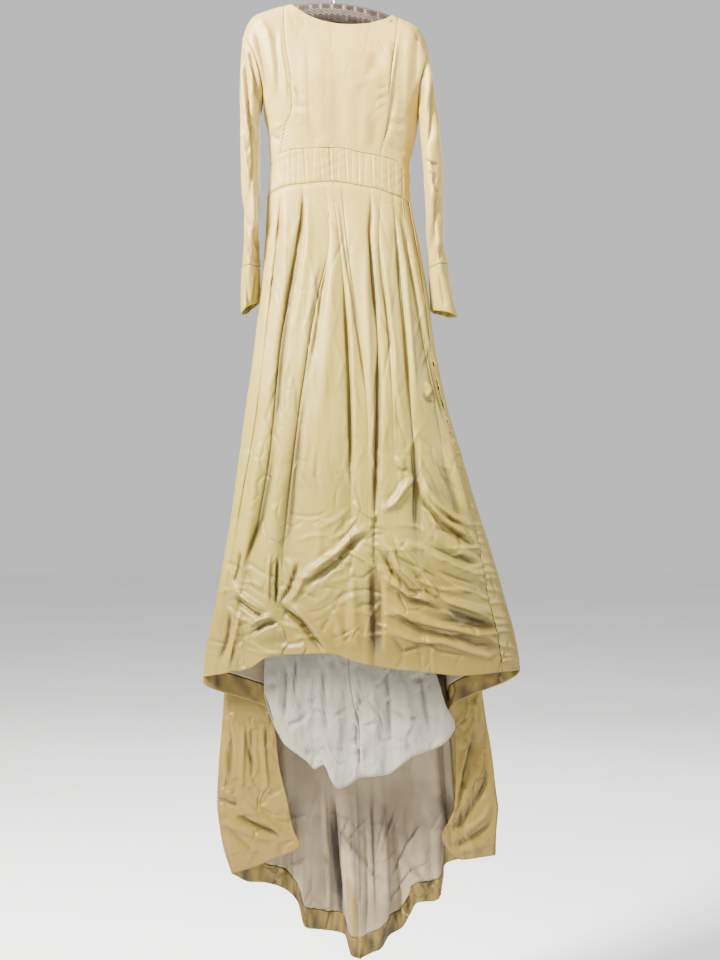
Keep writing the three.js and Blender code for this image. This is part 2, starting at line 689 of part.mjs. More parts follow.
// Midriff band
function midriff() {
  const left = WAIST.x[0];
  const right = WAIST.x[WAIST.x.length - 1];
  const gap = SEAM_GAP / 2;
  const gaps = { top: BAND_OVERLAP_GAP, bottom: gap, left: gap, right: gap };
  const places = [0, 0.03];
  BAND_GATHERS.forEach((x, i) => {
    const next = BAND_GATHERS[i + 1] ?? right - 6;
    places.push((x - left) / (right - left), ((x + next) / 2 - left) / (right - left));
  });
  places.push(1);
  const build = (name, shares, front) => {
    const grid = BAND_ROWS.map((share) =>
      shares.map((place, i) => {
        let drop = 450;
        let x = 0;
        for (let pass = 0; pass < 6; pass += 1) {
          const leftX = lookUp(SIDES.drop, SIDES.left, drop);
          const rightX = lookUp(SIDES.drop, SIDES.right, drop);
          x = mix(leftX, rightX, place);
          drop = mix(bandTopDrop(x, front), waistDrop(x, front), share);
        }
        const groove = front && i > 1 && i % 2 === 0 && i < shares.length - 1;
        const end = i === 0 || i === shares.length - 1;
        const y = end ? 0 : sectionY(x, drop, front) + (groove ? BAND_GATHER_DEPTH : 0);
        return [x, y, -drop];
      }),
    );
    const last = shares.length - 1;
    const outward = squareToSeam(grid, directions(grid, false), (r, c) => c === 0 || c === last);
    wall(name, trim(grid, gaps), outward, SATIN, COLOURS.satin);
  };
  build('midriff_front', places, true);
  const backPlaces = [];
  for (let i = 0; i <= MIDRIFF_BACK_COLUMNS; i += 1) {
    backPlaces.push(0.5 + 0.5 * Math.cos((Math.PI * i) / MIDRIFF_BACK_COLUMNS));
  }
  build('midriff_back', backPlaces, false);
}

// Sleeves and cuffs
function sleeve(name, leftSide, table, cuff) {
  const top = leftSide ? ARMHOLE.leftTop : ARMHOLE.rightTop;
  const turn = leftSide ? 1 : -1;
  const grid = SLEEVE_ROWS.map((share, r) => {
    const ring = [];
    for (let c = 0; c < SLEEVE_COLUMNS; c += 1) {
      const step = (c / SLEEVE_COLUMNS) * 2 * ARMHOLE.steps;
      const angle = (Math.PI * step) / ARMHOLE.steps;
      const fromTop = step > ARMHOLE.steps ? 2 * ARMHOLE.steps - step : step;
      const start = mix(top, ARMHOLE.bottom, armholeShare(fromTop)) + SEAM_GAP;
      const end = mix(cuff.seamInner, cuff.seamOuter, 0.5 + 0.5 * Math.cos(angle)) - SEAM_GAP / 2;
      const drop = mix(start, end, share);
      const point = sleevePoint(table, drop, turn * angle);
      if (r === 0) {
        const out = (leftSide ? -1 : 1) * SEAM_GAP;
        ring.push([point[0] + out, point[1], point[2]]);
      } else {
        ring.push(point);
      }
    }
    return ring;
  });
  wall(name, grid, directions(grid, true), SATIN, COLOURS.satin, true);
}

function cuff(name, leftSide, table, sizes) {
  const turn = leftSide ? 1 : -1;
  const grid = CUFF_ROWS.map((share) => {
    const row = [];
    const slit = mix(CUFF_SLIT.top, CUFF_SLIT.bottom, share);
    for (let c = 0; c <= SLEEVE_COLUMNS; c += 1) {
      const angle = Math.PI + (2 * Math.PI * c) / SLEEVE_COLUMNS;
      const lean = 0.5 + 0.5 * Math.cos(angle);
      const start = mix(sizes.seamInner, sizes.seamOuter, lean) + SEAM_GAP / 2;
      const end = mix(sizes.endInner, sizes.endOuter, lean);
      const point = sleevePoint(table, mix(start, end, share), turn * angle);
      const side = c === 0 ? turn : -turn;
      if (c === 0 || c === SLEEVE_COLUMNS) point[1] += (side * slit) / 2;
      row.push(point);
    }
    return row;
  });
  wall(name, grid, directions(grid, false), SATIN, COLOURS.satin);
}

// Skirt and train: one ring of columns, each a line of cloth from the waist to the hem
function skirtColumns() {
  const columns = [];
  const sideX = (side, drop) => lookUp(SIDES.drop, SIDES[side], drop);
  const sideY = (drop) => lookUp(SIDES.drop, SIDES.y, drop);
  const valleys = [
    { x: (drop) => sideX('left', drop), depth: () => 0 },
    ...PLEATS.map((pleat) => ({
      x: (drop) => lookUp(PLEAT_DROPS, pleat.x, drop),
      depth: (drop) => lookUp(PLEAT_DROPS, pleat.depth, drop),
    })),
    { x: (drop) => lookUp(RIGHT_SIDE_SEAM.drop, RIGHT_SIDE_SEAM.x, drop), depth: () => 0 },
  ];
  for (let k = 0; k < valleys.length - 1; k += 1) {
    for (let i = 0; i < COLUMNS_PER_PLEAT; i += 1) {
      const u = i / COLUMNS_PER_PLEAT;
      const place = (drop) => {
        const x = mix(valleys[k].x(drop), valleys[k + 1].x(drop), u);
        const depth = mix(valleys[k].depth(drop), valleys[k + 1].depth(drop), u);
        const low = 1 - Math.pow(Math.sin(Math.PI * u), PLEAT_ROUNDNESS);
        return [x, sectionY(x, drop, true) + depth * low];
      };
      const top = waistDrop(place(490)[0], true);
      const hem = lookUp(FRONT_HEM.x, FRONT_HEM.drop, place(1530)[0]);
      columns.push({ place, top, hem });
    }
  }
  columns.rightSeam = columns.length;
  const seamX = valleys[valleys.length - 1].x;
  [0, 0.33, 0.67].forEach((u) => {
    const place = (drop) => {
      const x = mix(seamX(drop), sideX('right', drop), u);
      return [x, sectionY(x, drop, true)];
    };
    columns.push({ place, top: mix(512, 520, u), hem: 1533 });
  });
  const ease = (u) => 0.5 - 0.5 * Math.cos(Math.PI * u);
  const foldColumns = (side, fold, lip, waistTop, sideHem) => {
    const list = [];
    const innerX = (drop) => lookUp(fold.drop, fold.innerX, drop);
    const innerY = (drop) => lookUp(fold.drop, fold.innerY, drop);
    const outerX = (drop) => lookUp(fold.drop, fold.outerX, drop);
    const outerY = (drop) => lookUp(fold.drop, fold.outerY, drop);
    [0, ...FOLD_COLUMNS].forEach((u) => {
      const place = (drop) => [
        mix(sideX(side, drop), innerX(drop), ease(u)),
        mix(sideY(drop), innerY(drop), u),
      ];
      list.push({ place, top: waistTop, hem: mix(sideHem, lip.drop[0], u) });
    });
    lip.share.forEach((u, i) => {
      const place = (drop) => {
        const y = mix(innerY(drop), outerY(drop), u);
        const x = mix(innerX(drop), outerX(drop), ease(u));
        if (drop <= LIP_START || u === 0 || u === 1) return [x, y];
        const down = (drop - LIP_START) / (lip.drop[i] - LIP_START);
        return [mix(x, lip.x[i], Math.pow(down, LIP_SWEEP)), y];
      };
      list.push({ place, top: waistTop, hem: lip.drop[i] });
    });
    return list;
  };
  const trainColumns = (fold, train, waistTop) => {
    const last = fold.drop.length - 1;
    const count = train.x.length + 1;
    const topX = fold.outerX[0];
    const cornerX = fold.outerX[last];
    return train.x.map((hemX, i) => {
      const hem = train.drop[i];
      const topShare = (i + 1) / count;
      const hemShare = (hemX - cornerX) / (CENTRE_BACK.hemX - cornerX);
      const place = (drop) => {
        const down = clamp((drop - waistTop) / (hem - waistTop), 0, 1);
        const share = mix(topShare, hemShare, Math.pow(down, 0.8));
        const centreX = centreBackX(drop);
        const startX = lookUp(fold.drop, fold.outerX, drop);
        const startY = lookUp(fold.drop, fold.outerY, drop);
        const round = Math.sin((Math.PI / 2) * clamp(share, 0, 1));
        const deep = lookUp(DEPTH.drop, DEPTH.back, drop);
        const waist = mix(topX, centreBackX(waistTop), topShare);
        const flat = sectionY(waist, waistTop, false);
        const settled = clamp((drop - waistTop) / 150, 0, 1);
        const y = mix(startY, deep, round) + train.wave[i] * ease(down);
        return [mix(startX, centreX, share), mix(flat, y, ease(settled))];
      };
      const x = mix(topX, centreBackX(waistTop), topShare);
      return { place, top: waistDrop(x, false), hem };
    });
  };
  const rightFold = foldColumns('right', FOLD_RIGHT, LIP_RIGHT, 520, 1533);
  const leftFold = foldColumns('left', FOLD_LEFT, LIP_LEFT, 498, 1560);
  columns.rightSilhouette = columns.length;
  columns.rightInnerFold = columns.length + FOLD_COLUMNS.length;
  columns.push(...rightFold);
  columns.rightOuterFold = columns.length - 1;
  columns.push(...trainColumns(FOLD_RIGHT, TRAIN_RIGHT, 520));
  columns.centreBack = columns.length;
  columns.push({
    place: (drop) => {
      const deep = lookUp(DEPTH.drop, DEPTH.back, drop);
      return [centreBackX(drop), deep + CENTRE_BACK.wave * ease(centreBackShare(drop))];
    },
    top: waistDrop(CENTRE_BACK.topX, false),
    hem: CENTRE_BACK.hemDrop,
  });
  columns.push(...trainColumns(FOLD_LEFT, TRAIN_LEFT, 498).reverse());
  columns.leftOuterFold = columns.length;
  columns.push(...leftFold.slice(1).reverse());
  columns.leftInnerFold = columns.length - FOLD_COLUMNS.length;
  return columns;
}

function centreBackShare(drop) {
  const { topDrop: start, hemDrop: end } = CENTRE_BACK;
  return clamp((drop - start) / (end - start), 0, 1);
}

function centreBackX(drop) {
  return mix(CENTRE_BACK.topX, CENTRE_BACK.hemX, centreBackShare(drop));
}

function skirt() {
  const columns = skirtColumns();
  const grid = [];
  for (let r = 0; r <= SKIRT_ROWS; r += 1) {
    grid.push(
      columns.map(({ place, top, hem }) => {
        const share = r / (SKIRT_ROWS - 1);
        const drop = r === SKIRT_ROWS ? hem : mix(top, hem - HEM_BAND, share);
        const [x, y] = place(drop);
        return [x, y, -drop];
      }),
    );
  }
  const outward = directions(grid, true);
  const ring = grid.map((row) => [...row, row[0]]);
  const away = outward.map((row) => [...row, row[0]]);
  const lastRow = SKIRT_ROWS;
  const lastColumn = columns.length;
  const gap = SEAM_GAP / 2;
  const gaps = { top: SEAM_GAP, left: gap, right: gap };
  const panels = [
    ['skirt_front', 0, columns.rightSeam, COLOURS.satinDeep],
    ['skirt_back_right', columns.rightSeam, columns.centreBack, COLOURS.satinDeep],
    ['skirt_back_left', columns.centreBack, lastColumn, COLOURS.satinDeep],
  ];
  panels.forEach(([name, from, to, colour]) => {
    const piece = trim(part(ring, 0, lastRow, from, to), gaps);
    wall(name, piece, part(away, 0, lastRow, from, to), SATIN, colour);
  });
  const under = inside(ring, away, SATIN + LAYER_GAP);
  const hemTrim = { top: LINING_EDGE_GAP, bottom: FACING_HEM_SETBACK, left: gap, right: gap };
  const liningTrim = { bottom: LINING_EDGE_GAP, left: gap, right: gap };
  const ranges = [
    ['side_right', 'side_lining_right', columns.rightSilhouette, columns.rightInnerFold],
    ['train_right', 'train_lining_right', columns.rightOuterFold, columns.centreBack],
    ['train_left', 'train_lining_left', columns.centreBack, columns.leftOuterFold],
    ['side_left', 'side_lining_left', columns.leftInnerFold, lastColumn],
  ];
  ranges.forEach(([facingName, liningName, from, to]) => {
    const lining = trim(part(under, LINING_FIRST_ROW, lastRow - 1, from, to), liningTrim);
    const liningAway = part(away, LINING_FIRST_ROW, lastRow - 1, from, to);
    wall(liningName, lining, liningAway, THIN_CLOTH, COLOURS.lining);
    const facing = trim(part(under, lastRow - 1, lastRow, from, to), hemTrim);
    const facingAway = part(away, lastRow - 1, lastRow, from, to);
    wall(`hem_facing_${facingName}`, facing, facingAway, SATIN, COLOURS.facing);
  });
}

// Underskirt
function underskirt() {
  const total = SLIP_FRONT_COLUMNS + SLIP_BACK_COLUMNS;
  const grid = [];
  for (let r = 0; r <= SLIP_ROWS; r += 1) {
    const ring = [];
    for (let c = 0; c < total; c += 1) {
      const front = c <= SLIP_FRONT_COLUMNS;
      const turn = front ? c / SLIP_FRONT_COLUMNS : (total - c) / SLIP_BACK_COLUMNS;
      const across = 0.5 - 0.5 * Math.cos(Math.PI * turn);
      const hemX = mix(SLIP_HEM.x[0], SLIP_HEM.x[SLIP_HEM.x.length - 1], across);
      const frontHem = lookUp(SLIP_HEM.x, SLIP_HEM.front, hemX);
      const hem = front ? frontHem : mix(frontHem, SLIP_BACK_HEM_DROP, Math.sin(Math.PI * turn));
      const waistX = mix(SLIP.left[0], SLIP.right[0], across);
      const top = waistDrop(waistX, front) + SLIP_WAIST_SETBACK;
      const drop = mix(top, hem, r / SLIP_ROWS);
      const x = mix(lookUp(SLIP.drop, SLIP.left, drop), lookUp(SLIP.drop, SLIP.right, drop), across);
      const middle = lookUp(SLIP.drop, SLIP.middleY, drop);
      const inset = lookUp(SLIP.drop, SLIP.inset, drop);
      const frontY = -(lookUp(DEPTH.drop, DEPTH.front, drop) - inset);
      const backY = lookUp(SLIP.drop, SLIP.backY, drop);
      const power = lookUp(DEPTH.drop, DEPTH.squareness, drop);
      const swell = Math.sqrt(1 - Math.pow(Math.abs(2 * across - 1), power));
      const fold = SLIP_FOLD.height * Math.sin(2 * Math.PI * SLIP_FOLD.count * across) * swell;
      const low = clamp((r - 2) / SLIP_ROWS, 0, 1);
      const y = front ? mix(middle, frontY, swell) + fold * low : mix(middle, backY, swell);
      ring.push([x, y, -drop]);
    }
    grid.push(ring);
  }
  const outward = directions(grid, true);
  const ring = grid.map((row) => [...row, row[0]]);
  const away = outward.map((row) => [...row, row[0]]);
  const middle = SLIP_FRONT_COLUMNS / 2;
  const gaps = { left: SEAM_GAP / 2, right: SEAM_GAP / 2 };
  const panels = [
    ['underskirt_front_left', 0, middle],
    ['underskirt_front_right', middle, SLIP_FRONT_COLUMNS],
    ['underskirt_back', SLIP_FRONT_COLUMNS, total],
  ];
  panels.forEach(([name, from, to]) => {
    const piece = trim(part(ring, 0, SLIP_ROWS, from, to), gaps);
    wall(name, piece, part(away, 0, SLIP_ROWS, from, to), THIN_CLOTH, COLOURS.slip);
  });
}

hangerHook();
hangerPadding();
bodice();
midriff();
sleeve('sleeve_left', true, SLEEVE_LEFT, CUFF_LEFT);
sleeve('sleeve_right', false, SLEEVE_RIGHT, CUFF_RIGHT);
cuff('cuff_left', true, SLEEVE_LEFT, CUFF_LEFT);
cuff('cuff_right', false, SLEEVE_RIGHT, CUFF_RIGHT);
skirt();
underskirt();

export default group;
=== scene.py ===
# %% [markdown]
# # A satin wedding dress with a train, on a padded hanger
# The dress hangs from a covered hanger and fills the whole height of the view. Its skirt is the
# part to get right: long unpressed pleats, a few crushed folds near the knee, and side folds that
# turn in to show the lining of the train. Every cloth piece below is a grid of points worked out
# from the dress's own sizes, pressed into creases, and given thickness by a modifier.

# %% Load the frame
import math
from collections import namedtuple

import bpy
import numpy as np
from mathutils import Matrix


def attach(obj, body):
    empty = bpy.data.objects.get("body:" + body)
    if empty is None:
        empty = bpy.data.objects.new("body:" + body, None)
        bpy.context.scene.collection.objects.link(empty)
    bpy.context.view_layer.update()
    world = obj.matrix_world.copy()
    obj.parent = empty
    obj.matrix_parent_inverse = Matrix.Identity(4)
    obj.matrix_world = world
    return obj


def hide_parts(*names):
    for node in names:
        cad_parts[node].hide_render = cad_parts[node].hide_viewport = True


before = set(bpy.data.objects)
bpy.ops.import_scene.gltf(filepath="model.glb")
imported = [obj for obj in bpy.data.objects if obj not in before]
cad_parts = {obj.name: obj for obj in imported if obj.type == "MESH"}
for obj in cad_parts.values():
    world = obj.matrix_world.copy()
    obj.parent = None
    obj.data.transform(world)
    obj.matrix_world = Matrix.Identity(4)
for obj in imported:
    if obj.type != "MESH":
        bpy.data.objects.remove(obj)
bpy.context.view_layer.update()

# %% [markdown]
# ## Camera, light and floor
# The photograph looks level at the middle of the dress from about three metres. The light is
# soft and comes from the upper left, so the pleats turn one bright side to it and keep the
# other in shade. A broad lamp gives satin its long highlights, where a small one would give
# hard sparks. A weak lamp on the right only opens the shadows.

# %% Camera
MM = 0.001
LENS, SENSOR = 51.14, 36.0
VIEW_X, VIEW_DISTANCE, VIEW_DROP = 57.2, 3000, 1124
camera_data = bpy.data.cameras.new("camera")
camera_data.sensor_width = SENSOR
camera_data.lens = LENS
camera = bpy.data.objects.new("camera", camera_data)
camera.location = (VIEW_X * MM, -VIEW_DISTANCE * MM, -VIEW_DROP * MM)
camera.rotation_euler = (math.radians(90), 0, 0)
bpy.context.scene.collection.objects.link(camera)
bpy.context.scene.camera = camera

# %% Lamps
def lamp(name, place, aim, size, power, colour):
    data = bpy.data.lights.new(name, "AREA")
    data.shape = "RECTANGLE"
    data.size, data.size_y = size
    data.energy = power
    data.color = colour
    thing = bpy.data.objects.new(name, data)
    thing.location = place
    way = [a - p for a, p in zip(aim, place)]
    across = math.hypot(way[0], way[1])
    turn = math.atan2(way[1], way[0]) - math.pi / 2
    thing.rotation_euler = (math.atan2(across, -way[2]), 0, turn)
    bpy.context.scene.collection.objects.link(thing)
    return thing


lamp("key_lamp", (-2.1, -1.7, 1.3), (0.05, 0, -1.1), (0.6, 2.0), 1150, (1.0, 0.975, 0.93))
lamp("side_lamp", (3.0, -1.0, -0.4), (0.05, 0, -1.2), (0.4, 2.4), 120, (0.97, 0.98, 1.0))
lamp("front_lamp", (-0.9, -3.6, 0.9), (0.05, 0, -1.2), (0.8, 0.8), 90, (1.0, 0.99, 0.97))
lamp("back_lamp", (0.4, 3.2, 0.6), (0.05, 0, -1.1), (2.0, 2.0), 70, (1.0, 1.0, 1.0))

world = bpy.data.worlds.new("studio")
world.use_nodes = True
world.node_tree.nodes["Background"].inputs["Color"].default_value = (1.0, 1.0, 1.0, 1.0)
world.node_tree.nodes["Background"].inputs["Strength"].default_value = 0.72
bpy.context.scene.world = world

# %% [markdown]
# ## Reading the dress's sizes
# A cutter keeps a few widths and depths at marked heights and lets the cloth run smoothly
# between them. The same is done here with short tables, read by a curve that never overshoots
# its values. A Blender curve object would need many handles for the same line.

# %% Tables and smooth reading
def mix(a, b, share):
    return a + (b - a) * share


def ease(share):
    share = np.clip(share, 0, 1)
    return share * share * (3 - 2 * share)


def swing(share):
    return 0.5 - 0.5 * np.cos(np.pi * np.clip(share, 0, 1))


def read(keys, values, key):
    keys, values = np.asarray(keys, float), np.asarray(values, float)
    key = np.clip(np.asarray(key, float), keys[0], keys[-1])
    width = np.diff(keys)
    slope = np.diff(values) / width
    tangent = np.concatenate([slope[:1], slope])
    before, after = slope[:-1], slope[1:]
    same = before * after > 0
    total = np.where(same, before + after, 1)
    tangent[1:-1] = np.where(same, 2 * before * after / total, 0)
    i = np.clip(np.searchsorted(keys, key, side="right") - 1, 0, len(keys) - 2)
    t = (key - keys[i]) / width[i]
    rise = (2 * t**3 - 3 * t**2 + 1) * values[i] + (t**3 - 2 * t**2 + t) * width[i] * tangent[i]
    fall = (3 * t**2 - 2 * t**3) * values[i + 1] + (t**3 - t**2) * width[i] * tangent[i + 1]
    return rise + fall


# %% Sizes in millimetres: heights are drops below the inside top of the hook
SATIN, THIN_CLOTH, SEAM_GAP, LAYER_GAP, BAR_GAP = 1.2, 1.0, 0.6, 0.45, 0.7
BAR = dict(left=-163, right=180, top=75, tilt=0.061, arch=0.001314)
BAR_SIZE = dict(
    along=[0, 0.04, 0.14, 0.5, 0.86, 0.96, 1],
    half_thick=[4, 9, 14, 18, 14, 9, 4],
    half_high=[8, 16, 23.6, 24, 23.6, 16, 8],
)
SIDES = dict(
    drop=[328, 372, 406, 431, 498, 620, 730, 840, 950, 1059, 1168, 1276, 1385, 1493, 1560],
    left=[-153, -143, -141, -139, -145, -151, -162, -175, -191, -204, -218, -234, -254, -277, -284],
    right=[185, 180, 172, 167, 168, 188, 206, 222, 245, 277, 308, 342, 372, 400, 407],
    y=[0, 0, 0, 0, 0, -8, -14, -18, -24, -30, -35, -38, -42, -45, -46],
)
DEPTH = dict(
    drop=[75, 130, 200, 260, 320, 380, 430, 500, 620, 800, 1000, 1200, 1400, 1560, 2200],
    front=[27, 29, 46, 55, 52, 46, 42, 42, 58, 80, 100, 118, 132, 142, 142],
    back=[27, 28, 31, 34, 33, 30, 28, 28, 36, 44, 52, 58, 62, 64, 62],
    squareness=[3, 3, 3, 3, 3, 3, 3, 3, 2.8, 2.6, 2.4, 2.3, 2.2, 2.2, 2.2],
)


def side_x(side, drop):
    return read(SIDES["drop"], SIDES[side], drop)


def depth_of(side, drop):
    return read(DEPTH["drop"], DEPTH[side], drop)


def section_y(x, drop, front):
    left, right, y = side_x("left", drop), side_x("right", drop), side_x("y", drop)
    across = np.clip(np.abs(2 * (x - left) / (right - left) - 1), 0, 1)
    swell = np.sqrt(1 - across ** depth_of("squareness", drop))
    deep = -depth_of("front", drop) if front else depth_of("back", drop)
    return y + (deep - y) * swell


def bar_top(x):
    return BAR["top"] + BAR["tilt"] * x + BAR["arch"] * x * x


print("waist width", side_x("right", 498) - side_x("left", 498), "mm")

# %% [markdown]
# ## From a grid of points to cloth
# Cloth is a grid whose rows run down the garment. Laying the grid's own arc lengths in a UV
# map keeps thread-sized detail at its real size on every panel. Thickness comes from a
# Solidify modifier, because the outer face is the one that was measured.

# %% Grids, their outward directions and their lengths
def stack(x, y, z):
    return np.stack(np.broadcast_arrays(x, y, z), axis=-1).astype(float)


def outward(grid, ring=False):
    down = np.gradient(grid, axis=0)
    if ring:
        wide = np.concatenate([grid[:, -2:-1], grid, grid[:, 1:2]], axis=1)
        across = np.gradient(wide, axis=1)[:, 1:-1]
    else:
        across = np.gradient(grid, axis=1)
    way = np.cross(down, across)
    return way / np.maximum(np.linalg.norm(way, axis=-1, keepdims=True), 1e-9)


def lengths(grid, axis):
    steps = np.linalg.norm(np.diff(grid, axis=axis), axis=-1)
    total = np.cumsum(steps, axis=axis)
    pad = [(1, 0), (0, 0)] if axis == 0 else [(0, 0), (1, 0)]
    return np.pad(total, pad)


def smooth_noise(points, size, seed, stretch=(1, 1, 1)):
    rng = np.random.default_rng(seed)
    total = np.zeros(points.shape[:-1])
    for _ in range(9):
        way = rng.normal(size=3) / np.array(stretch)
        phase = rng.uniform(0, 2 * np.pi)
        total += np.sin(points @ (way * 2.2 / size) + phase)
    return total / 4


# %% Make one cloth object from its grid
def cloth(name, grid, thickness, shade=None):
    rows, columns = grid.shape[:2]
    r, c = np.meshgrid(np.arange(rows - 1), np.arange(columns - 1), indexing="ij")
    corner = (r * columns + c).ravel()
    faces = np.stack([corner, corner + columns, corner + columns + 1, corner + 1], axis=-1)
    mesh = bpy.data.meshes.new(name)
    mesh.from_pydata((grid.reshape(-1, 3) * MM).tolist(), [], faces.tolist())
    uv = np.stack([lengths(grid, 1), -lengths(grid, 0)], axis=-1).reshape(-1, 2) * MM
    layer = mesh.uv_layers.new(name="cloth")
    layer.data.foreach_set("uv", uv[faces.ravel()].ravel())
    # The fold value on each point: painted shade on the cloth pieces, the trellis pattern on the
    # hanger.
    fold = mesh.attributes.new("fold", "FLOAT", "POINT")
    values = np.zeros(rows * columns) if shade is None else np.clip(shade, -1, 1).ravel()
    fold.data.foreach_set("value", values)
    mesh.shade_smooth()
    thing = bpy.data.objects.new(name, mesh)
    bpy.context.scene.collection.objects.link(thing)
    thick = thing.modifiers.new("cloth thickness", "SOLIDIFY")
    thick.thickness = thickness * MM
    thick.offset = -1
    return thing


def area_of(grid):
    down, across = np.diff(grid, axis=0)[:, :-1], np.diff(grid, axis=1)[:-1]
    return np.linalg.norm(np.cross(down, across), axis=-1).sum() * MM * MM


# %% [markdown]
# ## Creases pressed in one by one
# A crease in satin is a soft ridge with one steep side. Each row of a crease table gives how
# far it stands out, or how far it sinks where that is less than zero, how broad its left and
# right sides are, and the line that it follows, all in millimetres on the front view. Only
# cloth that faces the front takes them, or the back where a piece is turned. Satin is dark
# where it falls away from the lamp, so each crease also paints shade into the cloth's colour,
# kept as the fold value, in its trough and on its side turned from the lamp. A cloth
# simulation would make other creases on each run, and these have a place on the real dress.

# %% Creases, and how they lie on the front view
Crease = namedtuple("Crease", "rise left right path")
CRISP, STAND, NARROWEST = 0.72, 1.1, 3.6
REACH, TAPER, FACING_GAIN = 2.6, 3.5, 1.6
# The lamp's direction on the front view, used only to paint shade on the far side of each crease.
LAMP_LEFT, LAMP_ABOVE = 0.83, 0.55
# A trough this many millimetres deep takes full painted shade.
SUNK_MM = 9
FAR_AWAY = 1e9


def front_view(grid):
    scale = VIEW_DISTANCE / (VIEW_DISTANCE + grid[..., 1])
    x = VIEW_X + (grid[..., 0] - VIEW_X) * scale
    drop = VIEW_DROP + (-grid[..., 2] - VIEW_DROP) * scale
    return x, drop


def scaled(creases, share):
    return [crease._replace(rise=share * crease.rise) for crease in creases]


def nearest_on(path, x, drop):
    """Distance to a path, side of it, share walked along it, and its turn from the lamp."""
    spans = np.linalg.norm(np.diff(path, axis=0), axis=1)
    walked = np.concatenate([[0], np.cumsum(spans)]) / spans.sum()
    best = np.full(x.shape, FAR_AWAY)
    side, along, turned = (np.zeros(x.shape) for _ in range(3))
    for i, span in enumerate(spans):
        ax, ad = path[i]
        dx, dd = (path[i + 1] - path[i]) / span
        t = np.clip((x - ax) * dx + (drop - ad) * dd, 0, span)
        far = np.hypot(x - ax - t * dx, drop - ad - t * dd)
        closer = far < best
        best = np.where(closer, far, best)
        side = np.where(closer, (x - ax) * dd - (drop - ad) * dx, side)
        along = np.where(closer, walked[i] + t / span * (walked[i + 1] - walked[i]), along)
        turned = np.where(closer, LAMP_ABOVE * dd - LAMP_LEFT * dx, turned)
    return best, side, along, turned


def press(grid, creases, shade, turned=1.0, fade=1.0):
    """Moves a grid along its outward way at each crease, and adds the creases' painted shade."""
    way = outward(grid)
    facing = np.clip(-way[..., 1] * turned * FACING_GAIN, 0, 1)
    x, drop = front_view(grid)
    rise, painted_lamp_shade = np.zeros(x.shape), np.zeros(x.shape)
    for crease in creases:
        path = np.array(crease.path, float)
        reach = REACH * CRISP * max(crease.left, crease.right)
        low, high = path.min(axis=0) - reach, path.max(axis=0) + reach
        near = (x > low[0]) & (x < high[0]) & (drop > low[1]) & (drop < high[1])
        if not near.any():
            continue
        far, side, along, tilt = nearest_on(path, x[near], drop[near])
        half = 0.5 * (crease.left + crease.right)
        width = CRISP * mix(crease.left, crease.right, ease(side / half + 0.5))
        width = np.maximum(width, NARROWEST)
        taper = ease(np.minimum(along, 1 - along) * TAPER)
        lift = STAND * crease.rise * np.exp(-((far / width) ** 2)) * taper
        rise[near] += lift
        # Painted shade on the side of the crease turned from the lamp.
        painted_lamp_shade[near] += 2 * lift * np.clip(side, -width, width) / width**2 * tilt
    rise *= facing * fade
    painted_lamp_shade *= facing * fade
    # Painted shade for troughs and for the sides turned from the lamp.
    painted_crease_shade = np.clip(-rise / SUNK_MM, -0.3, 0.5) + np.clip(painted_lamp_shade, -0.3, 0.75)
    return grid + way * rise[..., None], shade + painted_crease_shade


# %% Small creases and soft shade
BEND, RIDGES, STEEP = 0.12, 0.55, (0.5, 0.8)


def scatter(seed, count, corners, lean, spread, long, rise, wide):
    """Small creases strewn over part of the front view. Lean is degrees down from level."""
    rng = np.random.default_rng(seed)
    (x0, d0), (x1, d1) = corners
    made = []
    for _ in range(count):
        x, drop = rng.uniform(x0, x1), rng.uniform(d0, d1)
        angle = math.radians(lean + rng.normal() * spread)
        length = rng.uniform(*long)
        bend = rng.normal() * BEND * length
        dx, dd = math.cos(angle), math.sin(angle)
        start = (x - dx * length / 2, drop - dd * length / 2)
        middle = (x - dd * bend, drop + dx * bend)
        end = (x + dx * length / 2, drop + dd * length / 2)
        height = rng.uniform(*rise) * (1 if rng.random() < RIDGES else -1)
        width = rng.uniform(*wide)
        steep = width * rng.uniform(*STEEP)
        sides = (width, steep) if rng.random() < 0.5 else (steep, width)
        made.append(Crease(height, *sides, [start, middle, end]))
    return made


def darken(grid, shade, zones):
    """Soft patches of shade: x, drop, half width, half height, lean in degrees, strength."""
    x, drop = front_view(grid)
    for zx, zd, wide, high, lean, strength in zones:
        turn = math.radians(lean)
        along = (x - zx) * math.cos(turn) + (drop - zd) * math.sin(turn)
        across = -(x - zx) * math.sin(turn) + (drop - zd) * math.cos(turn)
        shade = shade + strength * np.exp(-((along / wide) ** 2) - (across / high) ** 2)
    return shade


def seam_dip(grid, edges, deep=1.0, reach=4.0):
    way = outward(grid)
    across, down = lengths(grid, 1), lengths(grid, 0)
    far = {
        "left": across,
        "right": across[:, -1:] - across,
        "top": down,
        "bottom": down[-1:] - down,
    }
    dip = sum(np.exp(-((far[edge] / reach) ** 2)) for edge in edges)
    return grid - way * (deep * np.clip(dip, 0, 1))[..., None]


def pucker(grid, edge, rise, spacing, reach, seed=1, span=(0, 1)):
    way = outward(grid)
    across, down = lengths(grid, 1), lengths(grid, 0)
    if edge in ("left", "right"):
        far = across if edge == "left" else across[:, -1:] - across
        along, share = down, np.linspace(0, 1, grid.shape[0])[:, None]
    else:
        far = down if edge == "top" else down[-1:] - down
        along, share = across, np.linspace(0, 1, grid.shape[1])[None, :]
    rng = np.random.default_rng(seed)
    bend = rng.uniform(0, 6, 4)
    wander = sum(np.sin(along / (spacing * (2.3 + k)) + bend[k]) for k in range(4)) * 0.8
    strength = 0.65 + 0.35 * np.sin(along / (spacing * 1.9) + bend[0] * 2)
    inside = ease((share - span[0]) * 25) * ease((span[1] - share) * 25)
    wave = np.sin(2 * np.pi * along / spacing + wander) * strength
    return grid + way * (rise * wave * np.exp(-far / reach) * inside)[..., None]


